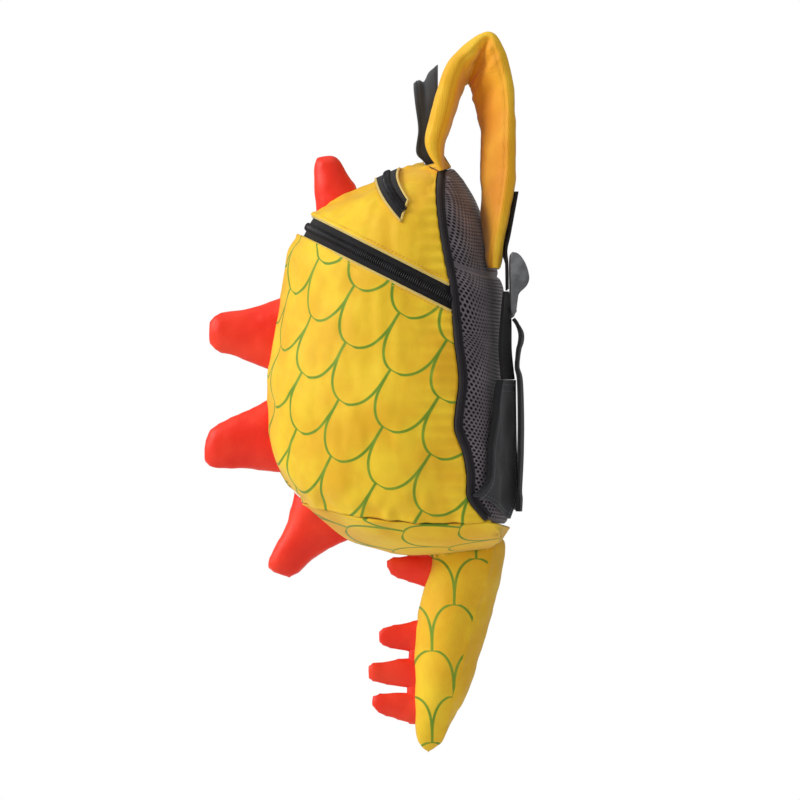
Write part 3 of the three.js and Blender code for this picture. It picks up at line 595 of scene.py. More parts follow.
def evenShares(rowFrom, rowTo, count):
    # shares of the front half section that lie at equal distances along it, over the rows
    fine = np.linspace(-1, 1, 241)
    rows = np.linspace(rowFrom, rowTo, 24)[:, None]
    length = stretchAlong(bagSurface(rows, fine * seamTurn(rows, "front")), 1).mean(axis=0)
    return np.interp(np.linspace(0, length[-1], count), length, fine)


def clothMap(points):
    # a print map in metres, across and along the cloth
    return stacked(stretchAlong(points, 1), stretchAlong(points, 0))


def clothRelief(points, rows, turns, top, bottom):
    # soft swells, small crumples and the pull of the seams on the printed cloth
    swell = noiseSum(points, (20, 3, 0.0026), (50, 5, 0.0012))
    forward = np.clip(1 - np.abs(turns) / (math.pi / 2), 0, 1)
    stretched = points * np.array((1.0, 1.3, 0.45))
    crumple = noiseField(stretched, 110, 8) * (0.0005 + 0.0010 * forward)
    slant = points @ np.array((0.3, 0.75, 0.6))
    ridge = noiseField(stacked(slant * 90, 0, points[..., 2] * 14), 1.0, 9)
    nearFront = np.clip(forward * 1.6, 0, 1)
    lowFront = hill(rows, rowOf["low"], 2.6) * nearFront
    underZip = hill(rows, rowOf["shoulder"], 0.9) * nearFront
    crumple = crumple + ridge * 0.0013 * (lowFront + underZip)
    seamShare = np.clip((np.abs(turns) / (math.pi / 2) - 0.86) / 0.14, 0, 1)
    pull = np.sin(points[..., 2] * 700) * 0.0006 * seamShare
    hemTop = hill(rows, top, 0.12) * 0.0011
    low = np.clip((rows - rowOf["fold"]) / 2, 0, 1)
    bunch = noiseField(points * np.array((0.5, 1.6, 1.0)), 90, 12) * 0.0016 * low
    hemBottom = hill(rows, bottom, 0.1) * 0.0008
    edge = np.clip((1 - np.abs(turns) / (math.pi / 2)) / 0.06, 0, 1)
    return (swell + crumple + bunch) * edge + pull + hemTop + hemBottom


shellMesh = {"rows": 120, "topRows": 90, "columns": 220}


def makeFrontCloth(name, rowFrom, rowTo, hemTop, hemBottom, rows):
    shares = evenShares(rowFrom, rowTo, shellMesh["columns"])
    rowGrid, shares = np.broadcast_arrays(np.linspace(rowFrom, rowTo, rows)[:, None], shares)
    turns = shares * seamTurn(rowGrid, "front")
    points = bagSurface(rowGrid, turns)
    normals = bagNormal(rowGrid, turns)
    outer = points + normals * clothRelief(points, rowGrid, turns, hemTop, hemBottom)[..., None]
    inner = points - normals * bag["wall"]
    # the print is measured from the side seam forwards and by height
    flat = points * np.array((1.0, 1.0, 0.0))
    length = stretchAlong(flat, 1)
    fromSeam = np.minimum(length, length[:, -1:] - length)
    seamY = points[:, -1:, 1]
    return wallPiece(name, outer, inner, stacked(seamY - fromSeam, points[..., 2]))


def makeBody():
    shell = makeFrontCloth("bodyShell", rowOf["zipBottom"], rowOf["base"] - 0.02,
                           rowOf["zipBottom"] + 0.1, rowOf["base"] - 0.1, shellMesh["rows"])
    finishPiece(shell, "bodyPrint", "yellow_print", "body_shell")
    top = makeFrontCloth("topPanel", 0, rowOf["zipTop"] - 0.02, -5, rowOf["zipTop"] - 0.12,
                         shellMesh["topRows"])
    finishPiece(top, "yellowPlain", "yellow_cloth", "top_panel")


def makeBase():
    rowCount, around = 30, 160
    top = rowOf["base"] + 0.04
    rows, turns = np.broadcast_arrays(np.linspace(top, rowOf["floor"], rowCount)[:, None], fullTurn(around))
    points = bagSurface(rows, turns)
    normals = bagNormal(rows, turns)
    relief = noiseField(points, 40, 21) * 0.0012 + hill(rows, top, 0.15) * 0.0009
    outer = points + normals * relief[..., None]
    inner = points - normals * 0.0022
    count = rowCount * around
    faces = gridFaces(rowCount, around, wrap=True)
    faces += [tuple(reversed(face)) for face in gridFaces(rowCount, around, count, wrap=True)]
    last = count - around
    for j in range(around):
        right = (j + 1) % around
        faces.append((right, j, count + j, count + right))
        faces.append((last + j, last + right, 2 * count))
        faces.append((count + last + right, count + last + j, 2 * count + 1))
    ends = np.stack([outer[-1].mean(axis=0), inner[-1].mean(axis=0)])
    every = np.concatenate([outer.reshape(-1, 3), inner.reshape(-1, 3), ends])
    uv = stacked(points[..., 1], -stretchAlong(points, 0))
    uvs = np.concatenate([uv.reshape(-1, 2)] * 2 + [np.zeros((2, 2))])
    base = addMesh("basePanel", every, faces, uvs)
    finishPiece(base, "basePrint", "yellow_print", "base_panel")


makeBody()
makeBase()
print("body cloth made")


# What several pieces use: forms to sit on, stuffing, small shapes in a row, tubes and strips

def bagForm():
    # the bag's whole outer form, for seating what is sewn to it
    rowCount, around = 120, 160
    rows = np.linspace(0, len(sectionTable) - 1, rowCount)[:, None]
    points = bagSurface(rows, fullTurn(around)).reshape(-1, 3)
    faces = gridFaces(rowCount, around, wrap=True)
    a, b, c = points[list(faces[len(faces) // 5][:3])]
    if np.dot(np.cross(b - a, c - a), a - bagMiddle) < 0:
        faces = [tuple(reversed(face)) for face in faces]
    return BVHTree.FromPolygons(points.tolist(), faces)


bagTree = bagForm()


def seatOn(piece, tree, depth=0.0012):
    # points that lie deeper than depth inside a form come out to that depth
    for vertex in piece.data.vertices:
        place, normal, _, _ = tree.find_nearest(vertex.co)
        if (vertex.co - place).dot(normal) < -depth:
            vertex.co = place - normal * depth
    piece.data.update()


def plainCopy(piece):
    # the piece as its modifiers leave it, with the modifiers gone
    graph = bpy.context.evaluated_depsgraph_get()
    mesh = bpy.data.meshes.new_from_object(piece.evaluated_get(graph))
    piece.modifiers.clear()
    piece.data = mesh


def readVectors(items, key):
    flat = np.zeros(len(items) * 3, np.float32)
    items.foreach_get(key, flat)
    return flat.reshape(-1, 3).astype(float)


def moveTo(mesh, points):
    mesh.vertices.foreach_set("co", points.astype(np.float32).ravel())
    mesh.update()


puff = {"voxel": 0.004, "fineVoxel": 0.0028, "smallSwell": 0.001, "pressure": 4.0, "frames": 20}


def puffUp(piece, cap, voxel=puff["voxel"]):
    # swells a stuffed piece by a cloth simulation; no point moves further than the cap
    remesh = piece.modifiers.new("remesh", "REMESH")
    remesh.mode = "VOXEL"
    remesh.voxel_size = voxel
    plainCopy(piece)
    start = readVectors(piece.data.vertices, "co")
    cloth = piece.modifiers.new("cloth", "CLOTH")
    cloth.settings.quality = 6
    cloth.settings.use_pressure = True
    cloth.settings.uniform_pressure_force = puff["pressure"]
    cloth.settings.effector_weights.gravity = 0
    scene = bpy.context.scene
    for number in range(1, puff["frames"] + 1):
        scene.frame_set(number)
    plainCopy(piece)
    scene.frame_set(1)
    moved = readVectors(piece.data.vertices, "co") - start
    reach = np.linalg.norm(moved, axis=1, keepdims=True)
    moveTo(piece.data, start + moved * np.minimum(1, cap / np.maximum(reach, 1e-9)))
    finer = piece.modifiers.new("finer", "SUBSURF")
    finer.levels = finer.render_levels = 1
    plainCopy(piece)


def wrinkle(piece, height):
    # height is a function of the points and says how far each one moves along its normal
    points = readVectors(piece.data.vertices, "co")
    normals = readVectors(piece.data.vertex_normals, "vector")
    moveTo(piece.data, points + normals * height(points)[:, None])
    shadeSmooth(piece.data)


class Steps:
    # a geometry node tree with named inputs, ending in real geometry with its material
    def __init__(self, name, **kinds):
        self.tree = bpy.data.node_groups.new(name, "GeometryNodeTree")
        face = self.tree.interface
        self.sockets = {}
        for key, kind in (("Geometry", "Geometry"), *kinds.items(), ("Material", "Material")):
            socket = face.new_socket(key, in_out="INPUT", socket_type="NodeSocket" + kind)
            self.sockets[key] = socket.identifier
        face.new_socket("Geometry", in_out="OUTPUT", socket_type="NodeSocketGeometry")
        self.given = self.add("NodeGroupInput").outputs

    def add(self, kind, settings=None, inputs=None):
        made = self.tree.nodes.new(kind)
        for key, value in (settings or {}).items():
            setattr(made, key, value)
        for key, value in (inputs or {}).items():
            if isinstance(value, bpy.types.NodeSocket):
                self.tree.links.new(value, made.inputs[key])
            else:
                made.inputs[key].default_value = value
        return made

    def end(self, geometry):
        real = self.add("GeometryNodeRealizeInstances", inputs={"Geometry": geometry})
        paint = {"Geometry": real.outputs[0], "Material": self.given["Material"]}
        coloured = self.add("GeometryNodeSetMaterial", inputs=paint)
        self.add("NodeGroupOutput", inputs={0: coloured.outputs[0]})

    def run(self, piece, finish, **values):
        modifier = piece.modifiers.new(self.tree.name, "NODES")
        modifier.node_group = self.tree
        modifier[self.sockets["Material"]] = finishes[finish]
        for key, value in values.items():
            modifier[self.sockets[key]] = value


stitch = {"pitch": 0.0030, "size": (0.0023, 0.0006, 0.0006)}


# Stitches and zip teeth: one small shape repeated along a route

def repeatSteps():
    steps = Steps("repeatAlong", Pitch="Float", Size="Vector")
    curve = steps.add("GeometryNodeMeshToCurve", inputs={"Mesh": steps.given["Geometry"]})
    even = steps.add("GeometryNodeResampleCurve", {"mode": "LENGTH"},
                     {"Curve": curve.outputs[0], "Length": steps.given["Pitch"]})
    tangent = steps.add("GeometryNodeInputTangent")
    outward = steps.add("GeometryNodeInputNamedAttribute", {"data_type": "FLOAT_VECTOR"}, {"Name": "outward"})
    first = steps.add("FunctionNodeAlignRotationToVector", {"axis": "X"}, {"Vector": tangent.outputs[0]})
    second = steps.add("FunctionNodeAlignRotationToVector", {"axis": "Z", "pivot_axis": "X"},
                       {"Rotation": first.outputs[0], "Vector": outward.outputs[0]})
    item = steps.add("GeometryNodeMeshIcoSphere", inputs={"Radius": 0.5, "Subdivisions": 2})
    copies = steps.add("GeometryNodeInstanceOnPoints", inputs={
        "Points": even.outputs[0], "Instance": item.outputs["Mesh"],
        "Rotation": second.outputs[0], "Scale": steps.given["Size"]})
    steps.end(copies.outputs[0])
    return steps


repeatAlong = repeatSteps()


def repeated(name, routes, pitch, size, finish, slot, *nodes):
    # routes are pairs of points and outward directions
    points, edges, outward = [], [], []
    for route, directions in routes:
        start = len(points)
        points += np.asarray(route).tolist()
        outward += np.asarray(directions).tolist()
        edges += [(start + i, start + i + 1) for i in range(len(route) - 1)]
    mesh = bpy.data.meshes.new(name)
    mesh.from_pydata(points, edges, [])
    layer = mesh.attributes.new("outward", "FLOAT_VECTOR", "POINT")
    layer.data.foreach_set("vector", np.asarray(outward, np.float32).ravel())
    piece = addObject(name, mesh)
    repeatAlong.run(piece, finish, Pitch=pitch, Size=size)
    plainCopy(piece)
    shadeSmooth(piece.data)
    settle(piece, slot, *nodes)


def tube(name, route, radius, sides=12, closed=False):
    # round cord, rolled hem or bar along a route
    route = np.asarray(route, float)
    if closed:
        along = np.roll(route, -1, axis=0) - np.roll(route, 1, axis=0)
    else:
        along = np.gradient(route, axis=0)
    along = unit(along)
    aside = unit(np.cross(along, np.array((0.31, 0.22, 0.92))))
    other = np.cross(along, aside)
    turns = fullTurn(sides)
    cosine, sine = np.cos(turns)[:, None], np.sin(turns)[:, None]
    rings = route[:, None] + radius * (aside[:, None] * cosine + other[:, None] * sine)
    length = stretchAlong(route[None], 1)[0]
    uv = stacked(turns * radius, length[:, None])
    if closed:
        count = len(route)
        faces = []
        for i in range(count):
            here, after = i * sides, (i + 1) % count * sides
            for j in range(sides):
                right = (j + 1) % sides
                faces.append((here + j, here + right, after + right, after + j))
        return addMesh(name, rings, faces, uv)
    return loftPiece(name, rings, uv)


def strip(name, middles, acrosses, outs, width, wall, columns=15):
    # a flat strip with rounded edges along its middle line; gives its length too
    flat = np.cos(np.linspace(math.pi, 0, columns))
    top = [(a, 1.0 if abs(a) < 0.97 else 0.0) for a in flat]
    section = np.array(top + [(a, -1.0) for a in flat[-2:0:-1]])
    width = np.broadcast_to(np.asarray(width, float), (len(middles),))
    wall = np.broadcast_to(np.asarray(wall, float), (len(middles),))
    reach = section[:, 0] * width[:, None] / 2
    height = section[:, 1] * wall[:, None] / 2
    rings = middles[:, None] + acrosses[:, None] * reach[..., None] + outs[:, None] * height[..., None]
    length = stretchAlong(middles[None], 1)[0]
    return loftPiece(name, rings, stacked(reach, length[:, None])), length[-1]


def curveThrough(points, count):
    # evenly spaced points on a smooth curve through a short list
    fine = smoothTable(np.asarray(points, float), np.linspace(0, len(points) - 1, 600))
    length = stretchAlong(fine[None], 1)[0]
    at = np.linspace(0, length[-1], count)
    return stacked(*(np.interp(at, length, column) for column in fine.T))


def joined(name, *pieces):
    # several meshes as one piece; each keeps its material until a new one is given
    with bpy.context.temp_override(active_object=pieces[0], selected_editable_objects=list(pieces)):
        bpy.ops.object.join()
    pieces[0].name = name
    return pieces[0]


# Zips, hems and piping
zips = {
    "tapeDrop": 0.0008,
    "coilWidth": 0.0062,
    "toothPitch": 0.0017,
    "hemRadius": 0.0010,
    "topWidth": 0.018,
    "topReach": 0.77,
    "topRow": 1.5,
    "topBend": 1.35,
    "pipingRadius": 0.0018,
    "tapeSink": 0.0018,
    "tapeWidth": 0.010,
}


def alongBand(row, count, lift):
    rows = np.full(count, float(row))
    turns = np.linspace(-1, 1, count) * seamTurn(rows, "front")
    normals = bagNormal(rows, turns)
    return bagSurface(rows, turns) + normals * lift, normals


def bandSheet(name, rowFrom, rowTo, lift, wall, rows=9, columns=160):
    rowGrid = np.linspace(rowFrom, rowTo, rows)[:, None] + np.zeros((1, columns))
    turns = np.linspace(-1, 1, columns)[None, :] * seamTurn(rowGrid, "front")
    normals = bagNormal(rowGrid, turns)
    points = bagSurface(rowGrid, turns)
    return wallPiece(name, points + normals * lift, points + normals * (lift - wall), clothMap(points))


def makeMainZip():
    top, bottom = rowOf["zipTop"], rowOf["zipBottom"]
    tape = bandSheet("mainZipTape", top + 0.01, bottom - 0.01, -zips["tapeDrop"], 0.0012)
    finishPiece(tape, "zipTape", "zip_black", "main_zip_tape")
    route = alongBand((top + bottom) / 2, 200, 0.0004)
    repeated("mainZipTeeth", [route], zips["toothPitch"], (0.0016, zips["coilWidth"], 0.0030),
             "zipTeeth", "zip_black", "main_zip_coil")
    hems = [tube("hemTop", alongBand(top - 0.02, 180, 0.0006)[0], zips["hemRadius"], 10),
            tube("hemBottom", alongBand(bottom + 0.02, 180, 0.0006)[0], zips["hemRadius"], 10)]
    finishPiece(joined("mainZipHems", *hems), "hem", "yellow_cloth")
    seams = [alongBand(row, 180, 0.0005) for row in (top - 0.22, bottom + 0.2)]
    repeated("mainZipStitches", seams, 0.0032, (0.0024, 0.0007, 0.0007), "yellowThread", "yellow_cloth")


def topZipPlace(turns, side, lift):
    # a place on the arched zip, side -1 to 1 over its width
    turns, side = np.broadcast_arrays(turns, side)
    share = turns / (zips["topReach"] * math.pi / 2)
    rows = zips["topRow"] + zips["topBend"] * share ** 2
    step = np.linalg.norm(bagSurface(rows + 0.5, turns) - bagSurface(rows - 0.5, turns), axis=-1)
    rows = rows + side * zips["topWidth"] / 2 / step
    normals = bagNormal(rows, turns)
    return bagSurface(rows, turns) + normals * lift, normals


def makeTopZip():
    turns = np.linspace(-1, 1, 140) * zips["topReach"] * math.pi / 2
    sides = np.linspace(-1, 1, 7)[:, None]
    outer = topZipPlace(turns, sides, 0.0016)[0]
    tape = wallPiece("topZipTape", outer, topZipPlace(turns, sides, 0.0003)[0], clothMap(outer))
    finishPiece(tape, "zipTape", "zip_black", "top_zip_tape")
    repeated("topZipTeeth", [topZipPlace(turns, 0, 0.0022)], zips["toothPitch"],
             (0.0016, zips["coilWidth"], 0.0028), "zipTeeth", "zip_black", "top_zip_coil")
    ends = np.linspace(-1, 1, 12)[1:-1]
    rim = ((turns, 1.05), (turns[-1], -ends), (turns[::-1], -1.05), (turns[0], ends))
    border = np.concatenate([topZipPlace(along, side, 0.001)[0] for along, side in rim])
    finishPiece(tube("topZipHem", border, zips["hemRadius"], 10, closed=True), "hem", "yellow_cloth")


def pipingRoute():
    rows = np.linspace(rowOf["base"] - 0.1, 0.2, 90)
    values = sectionValues(rows)
    y, z = bagPlace(values["seamY"], values["seamZ"])
    right = stacked(values["half"] * bag["width"], y, z)
    ridge = dict(zip(sectionColumns, sectionTable[0]))
    topY, topZ = bagPlace(ridge["seamY"], ridge["seamZ"])
    half = ridge["half"] * bag["width"]
    crown = [(half * share, topY, topZ + 0.003) for share in (0.55, 0, -0.55)]
    left = right[::-1] * np.array((-1, 1, 1))
    return curveThrough(np.concatenate([right[::3], crown, left[::3]]), 320)


def makePiping():
    # the cord in the seam, with the tape behind it that closes the seam
    route = pipingRoute()
    cord = tube("seamPiping", route, zips["pipingRadius"], 12)
    along = unit(np.gradient(route, axis=0))
    inward = unit((bagMiddle - route) * np.array((1, 0.3, 1)))
    inward = unit(inward - along * (inward * along).sum(axis=1, keepdims=True))
    tape, _ = strip("seamTape", route + inward * zips["tapeSink"], np.cross(along, inward), -inward,
                    zips["tapeWidth"], 0.001)
    finishPiece(joined("seamPiping", cord, tape), "binding", "dark_binding", "seam_piping")


makeMainZip()
makeTopZip()
makePiping()
print("zips and piping made")


# Back pads: foam under a net with staggered holes
net = {
    "pitch": 0.0042,
    "rowStep": 0.0026,
    "open": 0.62,
    "wall": 0.0007,
    "foamTop": 0.0016,
    "foamUnder": 0.008,
    "quiltSag": 0.75,
    "groove": 0.0032,
    "zig": 0.17,
}


def netSteps():
    # each whole cell becomes a smaller face inside it, which is taken out again
    steps = Steps("netHoles", Open="Float")
    whole = steps.add("GeometryNodeInputNamedAttribute", {"data_type": "BOOLEAN"}, {"Name": "cell"})
    extrude = steps.add("GeometryNodeExtrudeMesh", {"mode": "FACES"}, {
        "Mesh": steps.given["Geometry"], "Selection": whole.outputs["Attribute"], "Offset Scale": 0.0})
    top = extrude.outputs["Top"]
    shrink = steps.add("GeometryNodeScaleElements", inputs={
        "Geometry": extrude.outputs["Mesh"], "Selection": top, "Scale": steps.given["Open"]})
    cut = steps.add("GeometryNodeDeleteGeometry", {"domain": "FACE"}, {
        "Geometry": shrink.outputs[0], "Selection": top})
    steps.end(cut.outputs[0])
    return steps


netHoles = netSteps()


def backTurn(rows, share):
    return math.pi - share * seamTurn(rows, "back")


def padRows(span, share, at):
    # row number between the two edges of a pad; the quilt seam sags to the centre
    edge = rowOf["quilt"] + net["quiltSag"] * (1 - np.abs(share) ** 3)
    start = 0.05 if span == "upper" else edge
    end = edge if span == "upper" else rowOf["base"] - 0.1
    return start + (end - start) * at


def padDrop(share, at, width, length):
    # how far the pad's face sinks towards its edges
    across = np.clip((1 - np.abs(share)) * width / 2 / 0.016, 0, 1)
    along = np.clip(np.minimum(at, 1 - at) * length / 0.014, 0, 1)
    return net["groove"] * (1 - np.minimum(across, 1) ** 0.5 * np.minimum(along, 1) ** 0.5)


def padPoint(span, share, at, under):
    rows = padRows(span, share, at)
    turns = backTurn(rows, share)
    points = bagSurface(rows, turns)
    length = 0.085 if span == "upper" else 0.2
    drop = padDrop(share, at, 0.2, length)
    swell = noiseField(points, 30, 31) * 0.0012 + noiseField(points * np.array((1, 1, 0.5)), 70, 33) * 0.0006
    height = swell * (1 - drop / net["groove"]) - drop - under
    return points + bagNormal(rows, turns) * height[..., None]


def netCells(span):
    # a staggered six-sided net over the pad, flat places first, clamped to the pad's outline
    at = np.linspace(0, 1, 60)
    middle = bagSurface(padRows(span, 0 * at, at), math.pi)
    run = stretchAlong(middle[None], 1)[0]
    rowCount = int(run[-1] / net["rowStep"])
    fine = np.linspace(-1, 1, 121)
    i = np.arange(rowCount + 1)
    rowAt = np.interp(i / rowCount * run[-1], run, at)[:, None]
    rows = padRows(span, fine[None, :], rowAt)
    across = stretchAlong(bagSurface(rows, backTurn(rows, fine[None, :])), 1)
    across = across - across[:, 60:61]
    columns = 2 * int(across[:, -1].max() / net["pitch"]) * 2 + 4
    c = np.arange(columns + 1)[None, :]
    flatX = (c - columns / 2) * net["pitch"] / 2
    share = np.stack([np.interp(flatX[0], line, fine) for line in across])
    inside = ((i > 0) & (i < rowCount))[:, None]
    zig = np.where((c + i[:, None]) % 2 == 0, 1, -1) * net["zig"] * inside
    shareAt = np.interp((i[:, None] + zig) / rowCount * run[-1], run, at)
    return share, shareAt, rowCount, columns


def netMesh(span, name):
    # six-sided cells over the pad; the whole ones, away from its edges, are marked to be opened
    share, at, rowCount, columns = netCells(span)
    points = padPoint(span, share, at, 0).reshape(-1, 3)
    clamped = np.abs(share).reshape(-1) > 0.9999
    faces, whole = [], []
    for i in range(rowCount):
        low, high = i * (columns + 1), (i + 1) * (columns + 1)
        cells = [[low + c, low + c + 1, low + c + 2, high + c + 2, high + c + 1, high + c]
                 for c in range(i % 2, columns - 1, 2)]
        if i % 2:
            cells.append([low, low + 1, high + 1, high])
        for cell in cells:
            if not clamped[cell].all():
                faces.append(cell)
                whole.append(not clamped[cell].any() and 0 < i < rowCount - 1)
    mesh = bpy.data.meshes.new(name)
    mesh.from_pydata(points.tolist(), [], faces)
    mesh.attributes.new("cell", "BOOLEAN", "FACE").data.foreach_set("value", whole)
    shell = bmesh.new()
    shell.from_mesh(mesh)
    bmesh.ops.remove_doubles(shell, verts=shell.verts, dist=1e-5)
    bmesh.ops.delete(shell, geom=[v for v in shell.verts if not v.link_faces], context="VERTS")
    bmesh.ops.recalc_face_normals(shell, faces=shell.faces)
    if sum(face.normal.y for face in shell.faces) < 0:
        bmesh.ops.reverse_faces(shell, faces=shell.faces)
    shell.to_mesh(mesh)
    shell.free()
    return mesh


def makePad(span, name, node):
    cover = addObject(name + "Net", netMesh(span, name + "Net"))
    netHoles.run(cover, "netThread", Open=net["open"])
    thick = cover.modifiers.new("thick", "SOLIDIFY")
    thick.thickness = net["wall"]
    thick.offset = -1
    plainCopy(cover)
    shadeSmooth(cover.data, False)
    foamShare, foamAt = np.broadcast_arrays(np.linspace(-1, 1, 90), np.linspace(0, 1, 60)[:, None])
    outer = padPoint(span, foamShare, foamAt, net["foamTop"])
    inner = padPoint(span, foamShare, foamAt, net["foamUnder"])
    foam = wallPiece(name + "Foam", outer, inner)
    foam.data.materials.append(finishes["netDark"])
    settle(joined(name, foam, cover), "spacer_mesh", node, fill=0.5)


makePad("upper", "backPadUpper", "back_pad_upper")
makePad("lower", "backPadLower", "back_pad_lower")
print("back pads made")


# Stuffed spikes on the front, places as shares of the depth and the height
spikes = {
    "half": 0.0165,
    "tipRound": 0.82,
    "deeper": 0.10,
    "swell": 0.003,
    "rings": 30,
    "sides": 40,
}
frontSpikes = {
    "spikeOne": ((0.63, 0.062), (0.808, 0.127), (0.716, -0.03), (0.822, -0.027), 0.02, "spike_1"),
    "spikeTwo": ((0.925, 0.334), (0.99, 0.54), (1.25, 0.38), (1.25, 0.484), 0.04, "spike_2"),
    "spikeThree": ((1.0, 0.6), (0.955, 0.8), (1.272, 0.684), (1.275, 0.79), 0.02, "spike_3"),
    "spikeFour": ((0.91, 0.845), (0.645, 0.97), (1.035, 1.04), (0.895, 1.08), 0.08, "spike_4"),
}


def middlePoint(place):
    y, z = bagPlace(*place)
    return np.array((0.0, y, z))


def spikeRings(place, top, bottom, tipTop, tipBottom, bow, half, deeper=0.0):
    # sections of one spike from its root's two ends to its tip's, narrowed by bow between them
    top, bottom, tipTop, tipBottom = (place(value) for value in (top, bottom, tipTop, tipBottom))
    top = top + deeper * (top - tipTop)
    bottom = bottom + deeper * (bottom - tipBottom)
    inward = (bottom - top) * bow
    shares = 1 - (1 - np.linspace(0, 1, spikes["rings"])) ** 1.5
    turns = fullTurn(spikes["sides"])
    roundSine = (np.sign(np.sin(turns)) * np.abs(np.sin(turns)) ** 0.9)[:, None]
    rings = []
    for share in shares:
        hollow = 4 * share * (1 - share)
        upper = top + (tipTop - top) * share + inward * hollow
        lower = bottom + (tipBottom - bottom) * share - inward * hollow
        rounding = max(share - spikes["tipRound"], 0) / (1.003 - spikes["tipRound"])
        closing = math.sqrt(max(1 - rounding ** 2, 0))
        middle = (upper + lower) / 2
        span = (upper - middle) * (0.3 + 0.7 * closing)
        thick = half * (1 - 0.55 * share) * max(closing, 0.12)
        rings.append(middle + np.cos(turns)[:, None] * span + roundSine * np.array((thick, 0, 0)))
    return rings


def clothSeam(points, width=0.003, depth=0.0007):
    # a seam in the middle plane with the small puckers that its thread pulls
    pucker = noiseField(points * np.array((0.2, 1, 1)), 150, 41) * 0.0003
    return hill(points[:, 0], 0, 3 * width) * pucker - hill(points[:, 0], 0, width) * depth


def stuffedRelief(points):
    return noiseSum(points, (45, 51, 0.0012), (110, 53, 0.0005)) + clothSeam(points)


for name, (*outline, bow, node) in frontSpikes.items():
    spike = loftPiece(name, spikeRings(middlePoint, *outline, bow, spikes["half"], spikes["deeper"]))
    puffUp(spike, spikes["swell"])
    wrinkle(spike, stuffedRelief)
    seatOn(spike, bagTree)
    finishPiece(spike, "orange", "orange_cloth", node, fill=0.8)
print("front spikes made")


# Stuffed tail with its own spikes: front and back of each section, as shares, and its half width
tail = {
    "root": (0.33, 1.035),
    "depth": 0.058,
    "length": 0.145,
    "half": 0.036,
    "finHalf": 0.0085,
    "swell": 0.0025,
}
tailTable = np.array([
    (0.027, -0.099, 0.894, -0.151, 0.9), (0.001, -0.017, 0.952, -0.099, 0.98),
    (-0.076, 0.077, 0.919, 0.014, 1), (-0.134, 0.164, 0.861, 0.139, 0.99),
    (-0.16, 0.247, 0.797, 0.247, 0.95), (-0.18, 0.33, 0.738, 0.335, 0.9),
    (-0.193, 0.418, 0.667, 0.439, 0.83), (-0.206, 0.516, 0.583, 0.542, 0.74),
    (-0.225, 0.62, 0.46, 0.666, 0.62), (-0.238, 0.723, 0.344, 0.775, 0.5),
    (-0.244, 0.821, 0.241, 0.863, 0.37), (-0.219, 0.904, 0.137, 0.927, 0.24),
    (-0.154, 0.951, 0.047, 0.966, 0.14), (-0.083, 0.977, -0.005, 0.984, 0.06)])
tailSpikeRow = ((0.118, -0.084), (-0.012, 0.128), (-0.594, -0.048), (-0.568, 0.061), 0.02)
finRows = (
    ((0.02, 0.278), (0.02, 0.842), (-0.3, 0.298), (-0.36, 0.826), 0.0),
    ((0.02, 0.268), (0.02, 0.472), (-0.71, 0.318), (-0.697, 0.428), -0.02),
    ((0.02, 0.464), (0.02, 0.661), (-0.865, 0.494), (-0.839, 0.614), -0.02),
    ((0.02, 0.653), (0.02, 0.85), (-0.8, 0.649), (-0.787, 0.765), -0.02),
)


def tailPoint(place):
    y, z = bagPlace(*tail["root"])
    return np.array((0.0, y + place[0] * tail["depth"], z - place[1] * tail["length"]))


def tailRelief(points):
    soft = noiseSum(points, (35, 61, 0.0016), (90, 63, 0.0006))
    fromCrease = points[:, 1] - creaseAt(points[:, 2])
    fold = hill(fromCrease, 0, 0.0022) * 0.0012
    pucker = hill(fromCrease, 0, 0.007) * noiseField(points * np.array((1, 0.3, 1)), 200, 65) * 0.0007
    return soft + fold + pucker + clothSeam(points, 0.003, 0.0009)


def makeTail():
    rows = smoothTable(tailTable, np.linspace(0, len(tailTable) - 1, 60))
    turns = fullTurn(56)
    rings = []
    for frontY, frontZ, backY, backZ, half in rows:
        front, back = tailPoint((frontY, frontZ)), tailPoint((backY, backZ))
        middle = (front + back) / 2
        rings.append(middle + np.cos(turns)[:, None] * (front - middle)
                     + np.sin(turns)[:, None] * np.array((half * tail["half"], 0, 0)))
    piece = loftPiece("tailBody", rings)
    puffUp(piece, tail["swell"])
    wrinkle(piece, tailRelief)
    seatOn(piece, bagTree)
    finishPiece(piece, "tailPrint", "yellow_print", "tail", fill=0.8)
    return BVHTree.FromObject(piece, bpy.context.evaluated_depsgraph_get())


def tailStub(name, row):
    stub = loftPiece(name, spikeRings(tailPoint, *row, tail["finHalf"]))
    puffUp(stub, puff["smallSwell"], puff["fineVoxel"])
    wrinkle(stub, stuffedRelief)
    return stub


def makeTailSpikes(tailTree):
    piece = tailStub("tailSpike", tailSpikeRow)
    seatOn(piece, bagTree)
    seatOn(piece, tailTree)
    finishPiece(piece, "orange", "orange_cloth", "tail_spike", fill=0.7)
    fin = joined("tailFin", *(tailStub("finger", row) for row in finRows))
    seatOn(fin, tailTree)
    finishPiece(fin, "orange", "orange_cloth", "tail_fin", fill=0.6)


makeTailSpikes(makeTail())
print("tail made")


